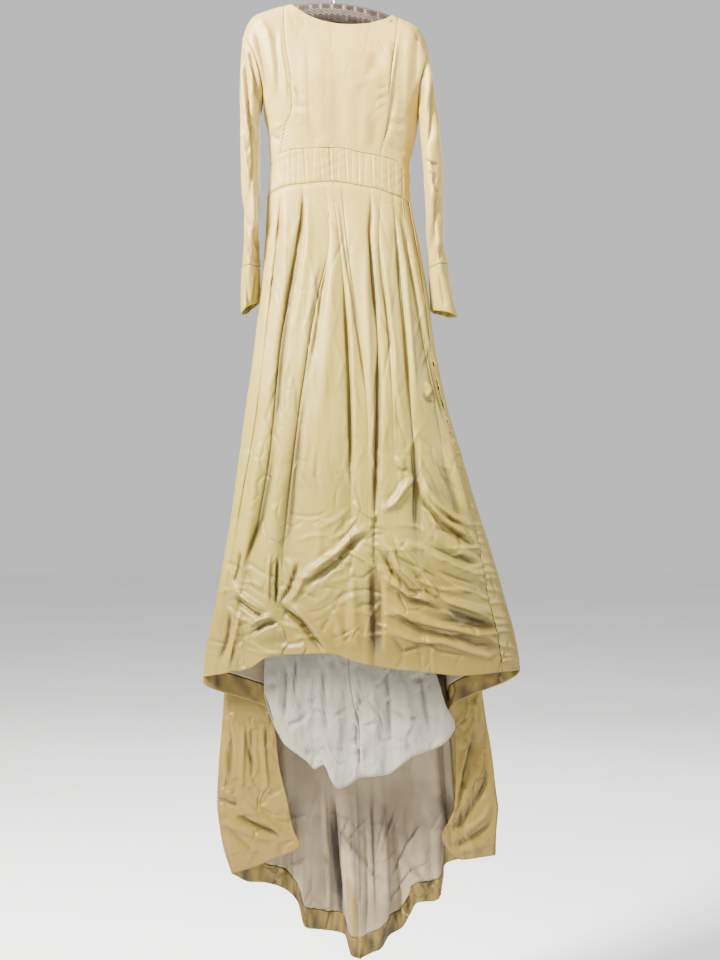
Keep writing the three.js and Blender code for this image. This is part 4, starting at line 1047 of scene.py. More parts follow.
# %% Sleeve and cuff grids
CUFFS = dict(
    left=dict(seam_outer=658, seam_inner=658, end_outer=760, end_inner=736),
    right=dict(seam_outer=649, seam_inner=662, end_outer=765, end_inner=753),
)
ROUND_ARM = np.linspace(-np.pi, np.pi, 81)[None, :]
TO_OUTER = 0.5 + 0.5 * np.cos(ROUND_ARM)
SLIT = dict(top=1.0, end=7.0, start=2.9, turn=0.24)


def turn_of(side):
    return 1 if side == "left" else -1


def sleeve_grid(side):
    cuff = CUFFS[side]
    share = np.linspace(0, 1, 136)[:, None] ** 1.15
    around = np.abs(ROUND_ARM) / np.pi
    start = mix(ARMHOLE[side], ARMHOLE["bottom"], around ** ARMHOLE["steepness"])
    end = mix(cuff["seam_inner"], cuff["seam_outer"], TO_OUTER) - SEAM_GAP / 2
    drop = mix(start, end, share)
    x, y = sleeve_point(side, drop, turn_of(side) * ROUND_ARM)
    return stack(x, y, -drop)


def cuff_grid(side):
    cuff = CUFFS[side]
    share = np.linspace(0, 1, 34)[:, None]
    start = mix(cuff["seam_inner"], cuff["seam_outer"], TO_OUTER) + SEAM_GAP / 2
    drop = mix(start, mix(cuff["end_inner"], cuff["end_outer"], TO_OUTER), share)
    x, y = sleeve_point(side, drop, turn_of(side) * ROUND_ARM)
    past = np.clip(np.abs(ROUND_ARM) - SLIT["start"], 0, None) / SLIT["turn"]
    apart = -np.sign(ROUND_ARM) * turn_of(side) * past
    return stack(x, y + apart * mix(SLIT["top"], SLIT["end"], share) / 2, -drop)


# %% Creases of the sleeves and cuffs
LEFT_SLEEVE_CREASES = [
    Crease(-7.0, 9, 7, [(-192, 150), (-180, 200), (-168, 262), (-158, 310)]),
    Crease(5.0, 9, 6, [(-190, 120), (-176, 172), (-164, 230), (-158, 270)]),
    Crease(-6.5, 6, 8, [(-200, 168), (-194, 244), (-186, 310), (-170, 376), (-163, 420)]),
    Crease(5.0, 8, 6, [(-203, 180), (-198, 260), (-192, 330), (-180, 400)]),
    Crease(-6.0, 6, 8, [(-196, 288), (-182, 346), (-176, 430), (-184, 476), (-192, 530)]),
    Crease(5.0, 7, 6, [(-204, 330), (-196, 400), (-186, 450), (-176, 500)]),
    Crease(-5.5, 7, 9, [(-192, 540), (-180, 580), (-168, 620), (-162, 636)]),
    Crease(4.5, 8, 6, [(-172, 480), (-174, 540), (-182, 590), (-194, 630)]),
    Crease(-3.0, 6, 6, [(-200, 590), (-188, 618), (-178, 650)]),
]
RIGHT_SLEEVE_CREASES = [
    Crease(-6.0, 8, 8, [(204, 160), (198, 210), (192, 262), (188, 320)]),
    Crease(5.5, 8, 7, [(212, 150), (212, 220), (206, 290), (200, 350)]),
    Crease(-5.0, 7, 9, [(222, 210), (220, 280), (214, 350), (204, 400)]),
    Crease(4.0, 8, 6, [(228, 260), (228, 330), (222, 400)]),
    Crease(-5.5, 6, 5, [(196, 418), (212, 426), (232, 432)]),
    Crease(4.0, 6, 6, [(198, 436), (216, 444), (236, 452)]),
    Crease(-6.5, 9, 7, [(236, 466), (228, 520), (220, 574), (208, 636)]),
    Crease(6.0, 8, 9, [(222, 450), (214, 510), (208, 570), (204, 610)]),
    Crease(4.0, 7, 7, [(238, 520), (234, 580), (226, 640)]),
    Crease(-3.5, 6, 6, [(244, 590), (238, 620), (232, 646)]),
]
LEFT_CUFF_CREASES = [
    Crease(-3.0, 5, 6, [(-200, 664), (-192, 700), (-186, 750)]),
    Crease(2.6, 6, 5, [(-178, 664), (-180, 700), (-184, 744)]),
    Crease(-2.2, 5, 5, [(-170, 668), (-174, 700), (-178, 730)]),
]
RIGHT_CUFF_CREASES = [
    Crease(3.0, 6, 5, [(244, 660), (250, 700), (260, 752)]),
    Crease(-3.0, 5, 6, [(230, 664), (236, 706), (244, 752)]),
    Crease(2.4, 6, 6, [(216, 668), (222, 710), (226, 748)]),
]

# %% Press and settle the sleeves and cuffs
BEHIND_LOWER = 24


def turned_behind(creases, middle_x):
    """The same creases for the back of a sleeve, mirrored and a little lower."""
    return [
        Crease(c.rise, c.right, c.left, [(2 * middle_x - x, d + BEHIND_LOWER) for x, d in c.path])
        for c in creases
    ]


def finish_arm_piece(name, node_name, grid, creases, middle_x, seed):
    grid = soften(grid, 0.8, 26, seed, (1, 1, 2))
    fade = ease(lengths(grid, 0) / 22)
    grid, shade = press(grid, creases, np.zeros(grid.shape[:2]), 1.0, fade)
    grid, shade = press(grid, turned_behind(creases, middle_x), shade, -1.0, fade)
    grid = pucker(grid, "top", 0.5, 8, 12, seed)
    grid = seam_dip(grid, ["bottom"], 0.8, 2.5)
    report(name, grid)
    thing = cloth(name, grid, SATIN, shade)
    settle(thing, [node_name], satin)


SMALL = dict(long=(40, 120), rise=(0.8, 2.4), wide=(3.5, 7.0))
LEFT_SLEEVE_CREASES += scatter(6, 34, ((-205, 180), (-160, 640)), 78, 14, **SMALL)
RIGHT_SLEEVE_CREASES += scatter(7, 34, ((186, 180), (250, 640)), 96, 14, **SMALL)
finish_arm_piece(
    "left_sleeve", "sleeve_left", sleeve_grid("left"), LEFT_SLEEVE_CREASES,
    -183, 31,
)
finish_arm_piece(
    "right_sleeve", "sleeve_right", sleeve_grid("right"), RIGHT_SLEEVE_CREASES,
    213, 32,
)
finish_arm_piece(
    "left_cuff", "cuff_left", cuff_grid("left"), LEFT_CUFF_CREASES,
    -184, 33,
)
finish_arm_piece(
    "right_cuff", "cuff_right", cuff_grid("right"), RIGHT_CUFF_CREASES,
    238, 34,
)

# %% [markdown]
# ## Skirt front
# The skirt is a wide cone set into the band in unpressed pleats. Each pleat is the space
# between two valleys, and its cloth stands out in a round arch between them. The valleys keep
# their own x and depth at each height, because some of them die out and others deepen.

# %% Pleats, hem and seam of the skirt front
PLEAT_DROPS = [480, 600, 730, 840, 950, 1060, 1170, 1280, 1390, 1540]
VALLEY_X = dict(
    far_left=[-114, -122, -137, -148, -161, -178, -198, -216, -235, -248],
    left=[-65, -74, -97, -115, -124, -134, -151, -172, -200, -219],
    left_of_middle=[-17, -9, -34, -55, -70, -84, -96, -106, -113, -96],
    middle=[-2, 12, 24, 30, 35, 38, 39, 37, 30, 15],
    short_middle=[16, 27, 45, 62, 72, 76, 72, 66, 58, 52],
    right_of_middle=[82, 80, 89, 95, 94, 90, 89, 87, 87, 87],
    short_right=[105, 98, 110, 120, 126, 130, 132, 134, 134, 134],
    right=[128, 135, 144, 155, 163, 172, 176, 178, 182, 185],
    far_right=[146, 157, 176, 196, 218, 236, 250, 262, 272, 285],
)
VALLEY_DEPTH = dict(
    far_left=[0, 7, 8, 8, 9, 9, 8, 6, 5, 4],
    left=[0, 12, 22, 20, 18, 18, 16, 12, 8, 6],
    left_of_middle=[0, 8, 14, 18, 20, 22, 22, 18, 10, 8],
    middle=[0, 7, 12, 14, 15, 13, 9, 5, 3, 2],
    short_middle=[0, 8, 12, 10, 6, 2, 0, 0, 0, 0],
    right_of_middle=[0, 10, 15, 16, 14, 12, 10, 8, 7, 6],
    short_right=[0, 6, 9, 8, 5, 2, 0, 0, 0, 0],
    right=[0, 8, 13, 16, 16, 13, 8, 4, 2, 2],
    far_right=[0, 8, 12, 12, 8, 4, 2, 1, 0, 0],
)
PLEAT_ROUNDNESS, PLEAT_RELIEF, PLEAT_SHADE = 0.36, 0.62, 26
PLEAT_TOP, PLEAT_END = 490.0, 1530.0
FRONT_HEM = dict(
    x=[-285, -236, -178, -137, -69, -12, 17, 47, 145, 215, 271, 324, 362, 407],
    drop=[1549, 1537, 1523, 1499, 1491, 1489, 1495, 1506, 1523, 1531, 1537, 1535, 1533, 1533],
)
SIDE_SEAM = dict(
    drop=[520, 620, 730, 840, 900, 1015, 1081, 1178, 1264, 1382, 1447, 1540],
    x=[164, 181, 197, 211, 222, 252, 272, 294, 313, 333, 350, 364],
)

# %% Grid of the skirt front
def valley(k, drop):
    if k == 0:
        return side_x("left", drop), 0 * drop
    if k == len(VALLEY_X) + 1:
        return read(SIDE_SEAM["drop"], SIDE_SEAM["x"], drop), 0 * drop
    name = list(VALLEY_X)[k - 1]
    return read(PLEAT_DROPS, VALLEY_X[name], drop), read(PLEAT_DROPS, VALLEY_DEPTH[name], drop)


def pleat_point(k, u, drop):
    (x0, d0), (x1, d1) = valley(k, drop), valley(k + 1, drop)
    x = mix(x0, x1, u)
    soft = mix(PLEAT_ROUNDNESS, 1.0, ease((drop - 1000) / 300))
    low = 1 - np.sin(np.pi * u) ** soft
    deep = mix(d0, d1, u) * low * PLEAT_RELIEF
    return x, section_y(x, drop, True) + deep, deep


def skirt_front(rows, steps):
    share = np.linspace(0, 1, rows)[:, None] ** 0.8
    parts, shades = [], []
    for k, columns in enumerate(steps):
        even = np.linspace(0, 1, columns + 1)[None, : None if k == len(steps) - 1 else -1]
        u = mix(even, swing(even), 0.7 * (1 - share))
        top_x = pleat_point(k, u[:1], np.array([[PLEAT_TOP]]))[0]
        hem_x = pleat_point(k, u[-1:], np.array([[PLEAT_END]]))[0]
        hem = read(FRONT_HEM["x"], FRONT_HEM["drop"], hem_x)
        drop = mix(seam_drop(WAIST, top_x, True), hem, share)
        x, y, deep = pleat_point(k, u, drop)
        parts.append(stack(x, y, -drop))
        # Painted shade, darker the deeper the pleat's valley.
        shades.append(np.clip(deep / PLEAT_SHADE, 0, 0.8))
    return np.concatenate(parts, axis=1), np.concatenate(shades, axis=1)


front_grid, front_shade = skirt_front(236, [14, 13, 34, 32, 13, 13, 16, 16, 27, 22])
report("skirt front", front_grid)

# %% [markdown]
# Below the hip the pleats are crushed: ridges cross them in slow diagonals, and the hem rises
# and dips. The rows are grouped as they lie on the dress: long ridges beside the pleats, the
# crushed folds at the knee, the waves of the lower right, and the dark hollows by the hem.

# %% Creases of the skirt front
PLEAT_RIDGES = [
    Crease(-7, 5, 7, [(-66, 474), (-70, 552), (-79, 607), (-90, 673), (-99, 728)]),
    Crease(-8, 6, 8, [(-90, 660), (-98, 724), (-110, 816), (-118, 882), (-122, 948), (-130, 1036)]),
    Crease(5, 10, 7, [(-106, 486), (-106, 600), (-108, 690), (-118, 780)]),
    Crease(-4, 5, 6, [(-117, 497), (-123, 596), (-134, 684), (-140, 760)]),
    Crease(6, 9, 14, [(-60, 490), (-58, 600), (-74, 720), (-92, 820)]),
    Crease(-6, 6, 10, [(-2, 596), (-26, 706), (-35, 772), (-46, 842), (-57, 915)]),
    Crease(
        -6, 8, 10, [(-57, 915), (-70, 992), (-77, 1047), (-86, 1124), (-92, 1201), (-101, 1289)]
    ),
    Crease(6, 14, 8, [(-30, 620), (-52, 740), (-66, 850), (-78, 960)]),
    Crease(7, 18, 18, [(0, 560), (-6, 680), (-12, 800), (-22, 920), (-36, 1040)]),
    Crease(-5, 5, 6, [(4, 473), (15, 541), (26, 629), (40, 717), (59, 838), (77, 970)]),
    Crease(-6, 6, 4, [(22, 662), (29, 794), (35, 904), (37, 1036), (37, 1168)]),
    Crease(5, 5, 10, [(30, 640), (37, 760), (44, 900), (46, 1040)]),
    Crease(-7, 5, 7, [(84, 482), (79, 574), (84, 662), (92, 750), (99, 805)]),
    Crease(-8, 8, 12, [(99, 805), (97, 904), (95, 1036), (90, 1212)]),
    Crease(7, 12, 8, [(72, 560), (72, 700), (78, 840), (80, 980)]),
    Crease(-4, 5, 6, [(95, 574), (106, 684), (114, 728), (128, 838), (132, 904)]),
    Crease(6, 7, 9, [(106, 600), (120, 720), (134, 840), (140, 960)]),
    Crease(-6, 5, 6, [(132, 497), (143, 662), (154, 772), (163, 904), (174, 1014)]),
    Crease(-6, 6, 8, [(174, 1014), (178, 1168), (180, 1256)]),
    Crease(6, 8, 7, [(150, 560), (160, 700), (172, 840), (184, 980)]),
    Crease(-5, 5, 6, [(145, 508), (158, 618), (167, 662), (178, 706), (191, 772), (205, 827)]),
    Crease(-5, 6, 7, [(205, 827), (216, 882), (235, 959), (246, 992)]),
    Crease(5, 8, 6, [(166, 560), (178, 660), (196, 760), (212, 850)]),
    Crease(-6, 8, 10, [(-130, 1036), (-141, 1124), (-158, 1212), (-185, 1283), (-211, 1355)]),
    Crease(7, 16, 12, [(-158, 992), (-178, 1146), (-194, 1278), (-207, 1344)]),
    Crease(5, 14, 12, [(-146, 700), (-154, 850), (-170, 1000)]),
]
KNEE_CREASES = [
    Crease(9, 12, 4, [(183, 1109), (167, 1131), (145, 1162), (134, 1177), (101, 1197)]),
    Crease(6, 8, 4, [(101, 1197), (82, 1206), (60, 1192), (38, 1170)]),
    Crease(9, 13, 5, [(88, 1228), (46, 1245), (9, 1283), (-35, 1316), (-79, 1344)]),
    Crease(-7, 6, 12, [(84, 1240), (46, 1262), (12, 1300), (-30, 1334), (-76, 1360)]),
    Crease(7, 5, 9, [(20, 1274), (68, 1300), (101, 1333)]),
    Crease(
        8, 5, 11, [(125, 1239), (147, 1274), (178, 1311), (207, 1349), (224, 1375), (253, 1395)]
    ),
    Crease(8, 5, 11, [(230, 1382), (253, 1395), (304, 1412), (343, 1426)]),
    Crease(8, 5, 9, [(101, 1256), (125, 1278), (143, 1316), (178, 1353), (202, 1379), (229, 1397)]),
    Crease(-6, 9, 5, [(92, 1268), (114, 1294), (134, 1330), (168, 1366), (196, 1390)]),
    Crease(7, 5, 12, [(101, 1333), (134, 1357), (165, 1379), (198, 1388), (229, 1399)]),
    Crease(-5, 12, 6, [(104, 1346), (136, 1372), (166, 1392), (204, 1404)]),
    Crease(6, 8, 6, [(134, 1072), (146, 1084), (154, 1094), (150, 1104)]),
    Crease(-5, 5, 5, [(140, 1096), (152, 1104), (160, 1100)]),
    Crease(7, 5, 7, [(191, 1179), (211, 1199), (224, 1223), (244, 1234)]),
    Crease(6, 8, 6, [(200, 906), (212, 926), (202, 946)]),
    Crease(-5, 6, 6, [(196, 930), (208, 948), (220, 958)]),
]
RIGHT_CREASES = [
    Crease(9, 4, 13, [(191, 1107), (207, 1151), (233, 1184), (264, 1208), (308, 1230)]),
    Crease(
        9, 4, 10, [(187, 1120), (202, 1158), (224, 1191), (257, 1224), (286, 1243), (321, 1263)]
    ),
    Crease(-6, 6, 6, [(198, 1140), (216, 1176), (246, 1206), (292, 1232)]),
    Crease(-8, 12, 6, [(190, 1146), (206, 1182), (236, 1220), (270, 1244), (314, 1276)]),
    Crease(6, 14, 7, [(202, 1280), (240, 1298), (275, 1316), (304, 1331), (334, 1333)]),
    Crease(-5, 7, 12, [(206, 1268), (244, 1284), (282, 1300), (326, 1314)]),
    Crease(-9, 12, 8, [(244, 1410), (299, 1432), (359, 1450)]),
    Crease(
        8, 5, 13,
        [(101, 1404), (143, 1417), (169, 1432), (211, 1443), (262, 1454), (312, 1467), (363, 1472)],
    ),
    Crease(-5, 14, 6, [(110, 1420), (150, 1434), (196, 1456), (262, 1470), (330, 1484)]),
    Crease(
        6, 5, 12,
        [(101, 1459), (139, 1465), (183, 1481), (240, 1483), (304, 1505), (339, 1514), (372, 1498)],
    ),
    Crease(4, 12, 10, [(250, 1040), (276, 1130), (296, 1210)]),
    Crease(-4, 12, 12, [(236, 1060), (262, 1150), (284, 1230)]),
    Crease(-3, 10, 12, [(182, 1020), (184, 1110), (188, 1200), (192, 1270)]),
]
HEM_CREASES = [
    Crease(-12, 8, 4, [(-124, 1400), (-100, 1416), (-72, 1438), (-46, 1472), (-18, 1505)]),
    Crease(8, 4, 12, [(-104, 1390), (-66, 1426), (-38, 1460), (-8, 1496)]),
    Crease(-9, 5, 5, [(-220, 1379), (-201, 1400), (-176, 1417), (-149, 1428)]),
    Crease(9, 5, 7, [(-222, 1364), (-196, 1384), (-166, 1404), (-146, 1414)]),
    Crease(-9, 4, 6, [(-120, 1436), (-152, 1443), (-182, 1462)]),
    Crease(7, 10, 5, [(-128, 1424), (-158, 1430), (-190, 1448)]),
    Crease(6, 6, 8, [(-205, 1405), (-216, 1467), (-237, 1540)]),
    Crease(-5, 8, 6, [(-226, 1404), (-232, 1466), (-252, 1530)]),
    Crease(-8, 5, 5, [(-122, 1290), (-124, 1340), (-126, 1402)]),
    Crease(6, 6, 5, [(-140, 1280), (-144, 1340), (-146, 1400)]),
    Crease(-6, 5, 5, [(-204, 1270), (-211, 1320), (-222, 1360)]),
    Crease(-8, 6, 4, [(-76, 1300), (-97, 1363), (-120, 1400)]),
    Crease(7, 5, 9, [(-62, 1330), (-84, 1376), (-104, 1398)]),
    Crease(6, 8, 5, [(-18, 1309), (-55, 1338), (-84, 1344)]),
    Crease(-6, 14, 12, [(84, 1300), (88, 1360), (90, 1430), (92, 1520)]),
    Crease(-5, 10, 9, [(100, 1320), (103, 1390), (102, 1460), (104, 1520)]),
    Crease(5, 16, 14, [(40, 1340), (44, 1420), (48, 1500)]),
    Crease(4, 12, 12, [(-10, 1390), (10, 1440), (20, 1490)]),
]
SMALL_CREASES = (
    scatter(1, 50, ((110, 1240), (360, 1500)), 18, 10, (50, 150), (1.2, 3.2), (4.5, 9.0))
    + scatter(2, 26, ((-255, 1290), (-80, 1500)), 36, 24, (40, 110), (0.8, 2.0), (4.5, 8.0))
    + scatter(3, 40, ((-60, 1180), (95, 1480)), -24, 34, (40, 110), (0.9, 2.4), (4.0, 8.0))
    + scatter(4, 60, ((-130, 560), (210, 1120)), 88, 6, (80, 260), (0.6, 1.5), (4.0, 8.0))
    + scatter(5, 18, ((200, 950), (330, 1150)), 55, 12, (60, 130), (0.8, 2.0), (4.5, 8.0))
)
SHADE_ZONES = [
    (262, 1180, 120, 22, 40, 0.30),
    (184, 1190, 12, 80, 0, 0.22),
    (300, 1436, 80, 16, 14, 0.60),
    (346, 1492, 34, 14, 4, 0.45),
    (92, 1400, 14, 130, 0, 0.30),
    (-150, 1478, 70, 14, -14, 0.35),
    (-84, 1428, 40, 9, 40, 0.5),
    (96, 1010, 16, 180, 0, 0.16),
    (170, 1340, 90, 26, 42, 0.22),
    (250, 1340, 110, 50, 14, 0.22),
    (250, 1480, 170, 50, 4, 0.22),
    (140, 1500, 60, 24, 0, 0.2),
    (-230, 1440, 40, 60, 0, 0.20),
    (20, 1480, 70, 30, 0, 0.14),
    (8, 600, 16, 90, 8, 0.18),
    (170, 860, 14, 160, 12, 0.20),
    (206, 900, 18, 160, -10, 0.25),
    (-122, 900, 9, 260, 4, 0.30),
    (-84, 660, 8, 70, 8, 0.55),
    (330, 1300, 20, 200, -14, 0.20),
    (270, 1400, 100, 120, 0, 0.25),
    (230, 1130, 60, 110, -20, 0.12),
]

# %% Press and settle the skirt front
PLEAT_PRESS = 0.65
FRONT_CREASES = scaled(PLEAT_RIDGES, PLEAT_PRESS) + KNEE_CREASES + RIGHT_CREASES
FRONT_CREASES += HEM_CREASES + SMALL_CREASES
front_grid = soften(front_grid, 1.6, 95, 41, (1, 1, 3))
front_grid = soften(front_grid, 0.5, 30, 42, (1, 1, 2.2))
front_grid, front_shade = press(front_grid, FRONT_CREASES, front_shade)
front_shade = darken(front_grid, front_shade, SHADE_ZONES)
front_grid = pucker(front_grid, "right", 0.9, 13, 9, 43, (0.2, 1))
front_grid = seam_dip(front_grid, ["top"], 1.0, 3.0)
front_grid = pull_edges(front_grid, top=0.6, left=0.3, right=0.3)
thing = cloth("skirt_front_panel", front_grid, SATIN, front_shade)
settle(thing, ["skirt_front"], satin)
print("creases on the skirt front:", len(FRONT_CREASES))

# %% [markdown]
# ## Skirt back and train
# The back is longer than the front and lies behind it as a train. On each side its cloth turns
# in on itself twice, which shows the lining. Each back panel is one sheet from side seam to
# centre back: a side strip, the inward fold, the free lip, and half of the train.

# %% Sizes of the side folds and the train
FOLD_LEFT = dict(
    drop=[498, 620, 700, 800, 900, 1100, 1300, 1500, 1627, 1727, 1826, 1882, 1937, 1991],
    inner_x=[
        -143.3, -150.5, -152, -146, -143, -142, -143, -143, -141, -141, -141, -141, -141, -141,
    ],
    inner_y=[5, 2, 0, -3, -5, -12, -20, -27, -30, -30, -30, -30, -30, -30],
    outer_x=[-134.7, -145, -154, -165, -173, -195, -218, -236, -243, -252, -257, -252, -242, -224],
    outer_y=[12, 12, 12, 11, 10, 7, 3, -3, -6, -7, -6, -4, -2, 2],
)
FOLD_RIGHT = dict(
    drop=[520, 620, 700, 800, 900, 1100, 1300, 1500, 1629, 1743, 1815, 1842, 1893, 1950],
    inner_x=[166.3, 187.5, 190, 192, 197, 210, 226, 238, 249, 249, 249, 249, 249, 249],
    inner_y=[5, 2, 0, -3, -5, -12, -20, -27, -30, -30, -30, -30, -30, -30],
    outer_x=[157.7, 182, 195, 212, 226, 256, 290, 316, 330, 349, 357, 362, 358, 356],
    outer_y=[12, 12, 12, 11, 10, 7, 3, -3, -6, -7, -6, -4, -2, 2],
)
LIP_LEFT = dict(
    share=[0, 0.2, 0.35, 0.48, 0.58, 0.66, 0.75, 0.85, 1],
    x=[-141, -129, -120, -102, -89, -74, -124, -174, -224],
    drop=[1627, 1672, 1747, 1824, 1890, 1927, 1953, 1974, 1991],
)
LIP_RIGHT = dict(
    share=[0, 0.2, 0.35, 0.48, 0.58, 0.66, 0.75, 0.85, 1],
    x=[249, 264, 267, 266, 262, 237, 280, 320, 356],
    drop=[1629, 1662, 1722, 1790, 1850, 1905, 1958, 1954, 1950],
)
LIP_START, LIP_SWEEP = 1430, 3
TRAIN_LEFT = dict(
    x=[-188, -155, -110, -80, -64, -30, 0, 24, 38],
    drop=[2014, 2020, 2035, 2063, 2122, 2134, 2141, 2145, 2190],
    wave=[6, 12, 2, -10, -6, 8, 14, 2, -8],
)
TRAIN_RIGHT = dict(
    x=[293, 248, 238, 229, 189, 171, 154, 122, 104, 84],
    drop=[1963, 1984, 2030, 2057, 2066, 2098, 2130, 2148, 2174, 2184],
    wave=[8, 12, 2, -10, -6, 6, 14, 4, -8, -4],
)
CENTRE_BACK = dict(top_x=12, top_drop=508, hem_x=55, hem_drop=2196, wave=-10)


def centre_back_x(drop):
    share = (drop - CENTRE_BACK["top_drop"]) / (CENTRE_BACK["hem_drop"] - CENTRE_BACK["top_drop"])
    return mix(CENTRE_BACK["top_x"], CENTRE_BACK["hem_x"], np.clip(share, 0, 1))


# %% Stretches of a back panel, each a block of columns
def rows_of(top, hem, rows):
    return mix(top, hem, np.linspace(0, 1, rows)[:, None] ** 0.65)


def side_strip(rows, columns):
    u = np.linspace(0, 1, columns + 1)[None, :-1]
    drop = rows_of(mix(512, 520, u), 1533 + 0 * u, rows)
    seam = read(SIDE_SEAM["drop"], SIDE_SEAM["x"], drop)
    x = mix(seam, side_x("right", drop), u)
    return stack(x, section_y(x, drop, True), -drop)


def fold_edge(fold, edge, drop):
    return [read(fold["drop"], fold[edge + axis], drop) for axis in ("_x", "_y")]


def inward_fold(side, fold, lip, top, side_hem, rows, columns):
    u = np.linspace(0, 1, columns + 1)[None, :-1]
    drop = rows_of(top + 0 * u, mix(side_hem, lip["drop"][0], u), rows)
    inner_x, inner_y = fold_edge(fold, "inner", drop)
    x = mix(side_x(side, drop), inner_x, swing(u))
    return stack(x, mix(side_x("y", drop), inner_y, u), -drop)


def free_lip(fold, lip, top, rows, columns):
    last = len(lip["share"]) - 1
    place = np.linspace(0, last, columns + 1)[None, :-1]
    u, hem_x, hem = (read(np.arange(last + 1), lip[key], place) for key in ("share", "x", "drop"))
    drop = rows_of(top + 0 * u, hem, rows)
    inner_x, inner_y = fold_edge(fold, "inner", drop)
    outer_x, outer_y = fold_edge(fold, "outer", drop)
    x = mix(inner_x, outer_x, swing(u))
    down = np.clip((drop - LIP_START) / (hem - LIP_START), 0, 1)
    inside = np.minimum(place, last - place) > 0
    x = np.where(inside, mix(x, hem_x, down**LIP_SWEEP), x)
    return stack(x, mix(inner_y, outer_y, u), -drop)


def half_train(fold, lip, train, top, rows, columns):
    count = len(train["x"])
    place = np.linspace(-1, count, columns + 1)[None, :]
    keys = np.arange(-1, count + 1)
    hem_x = read(keys, [fold["outer_x"][-1], *train["x"], CENTRE_BACK["hem_x"]], place)
    hem = read(keys, [lip["drop"][-1], *train["drop"], CENTRE_BACK["hem_drop"]], place)
    wave = read(keys, [0, *train["wave"], CENTRE_BACK["wave"]], place)
    top_share = (place + 1) / (count + 1)
    hem_share = (hem_x - fold["outer_x"][-1]) / (CENTRE_BACK["hem_x"] - fold["outer_x"][-1])
    waist_x = mix(fold["outer_x"][0], centre_back_x(top), top_share)
    drop = rows_of(seam_drop(WAIST, waist_x, False), hem, rows)
    down = np.clip((drop - top) / (hem - top), 0, 1)
    share = mix(top_share, hem_share, down**0.8)
    start_x, start_y = fold_edge(fold, "outer", drop)
    lower = mix(start_y, depth_of("back", drop), np.sin(np.pi / 2 * np.clip(share, 0, 1)))
    flat = section_y(waist_x, top + 0 * waist_x, False)
    y = mix(flat, lower + wave * swing(down), swing((drop - top) / 150))
    return stack(mix(start_x, centre_back_x(drop), share), y, -drop)


ROWS = 230
back_right = np.concatenate([
    side_strip(ROWS, 12),
    inward_fold("right", FOLD_RIGHT, LIP_RIGHT, 520, 1533, ROWS, 16),
    free_lip(FOLD_RIGHT, LIP_RIGHT, 520, ROWS, 56),
    half_train(FOLD_RIGHT, LIP_RIGHT, TRAIN_RIGHT, 520, ROWS, 72),
], axis=1)
back_left = np.concatenate([
    inward_fold("left", FOLD_LEFT, LIP_LEFT, 498, 1560, ROWS, 16),
    free_lip(FOLD_LEFT, LIP_LEFT, 498, ROWS, 56),
    half_train(FOLD_LEFT, LIP_LEFT, TRAIN_LEFT, 498, ROWS, 72),
], axis=1)[:, ::-1]
RIGHT_MARKS = dict(silhouette=12, inner_fold=28, outer_fold=84, centre=156)
LEFT_MARKS = dict(centre=0, outer_fold=72, inner_fold=128, silhouette=144)
report("back right", back_right)
report("back left", back_left)

# %% [markdown]
# The lips hang free below the front hem. The left one has a knot of small creases above a dark
# pocket, and the right one is crossed by drag folds that spread from its lowest tip.

# %% Creases of the side folds
LEFT_LIP_CREASES = [
    Crease(-3.5, 6, 8, [(-183, 1634), (-182, 1690), (-180, 1760), (-172, 1817)]),
    Crease(6, 7, 6, [(-198, 1640), (-198, 1700), (-202, 1780), (-206, 1830)]),
    Crease(6, 9, 6, [(-158, 1640), (-154, 1700), (-150, 1760), (-140, 1830)]),
    Crease(-2, 8, 7, [(-166, 1650), (-164, 1720), (-158, 1790)]),
    Crease(7, 8, 6, [(-257, 1800), (-236, 1812), (-214, 1822)]),
    Crease(-7, 7, 7, [(-252, 1822), (-232, 1836), (-208, 1842)]),
    Crease(8, 8, 7, [(-207, 1828), (-163, 1861), (-128, 1890), (-97, 1916)]),
    Crease(-11, 9, 12, [(-222, 1854), (-190, 1880), (-163, 1894), (-110, 1914)]),
    Crease(8, 8, 9, [(-251, 1866), (-214, 1890), (-174, 1905), (-119, 1920)]),
    Crease(-5, 5, 5, [(-246, 1877), (-216, 1908), (-185, 1938), (-158, 1956)]),
    Crease(5, 8, 8, [(-240, 1700), (-238, 1760), (-242, 1810)]),
    Crease(-3, 8, 8, [(-226, 1650), (-224, 1720), (-228, 1790)]),
] + scatter(8, 46, ((-258, 1600), (-110, 1960)), 40, 40, (26, 80), (1.2, 3.0), (3.5, 7.0))
RIGHT_LIP_CREASES = [
    Crease(7, 9, 7, [(240, 1900), (276, 1850), (310, 1790), (336, 1720)]),
    Crease(-8, 9, 9, [(250, 1908), (290, 1868), (326, 1812), (348, 1750)]),
    Crease(7, 8, 8, [(244, 1922), (290, 1900), (330, 1866), (356, 1820)]),
    Crease(-6, 8, 8, [(250, 1936), (296, 1918), (338, 1890), (358, 1860)]),
    Crease(6, 8, 8, [(262, 1870), (272, 1800), (286, 1730), (300, 1660)]),
    Crease(-6, 8, 8, [(274, 1850), (288, 1780), (304, 1710), (318, 1650)]),
    Crease(5, 7, 8, [(250, 1948), (300, 1936), (352, 1918)]),
    Crease(4, 8, 8, [(330, 1600), (322, 1660), (312, 1720)]),
    Crease(-4, 8, 8, [(346, 1600), (340, 1660), (330, 1730)]),
] + scatter(9, 46, ((250, 1590), (362, 1950)), -52, 28, (26, 90), (1.5, 4.0), (3.5, 7.0))
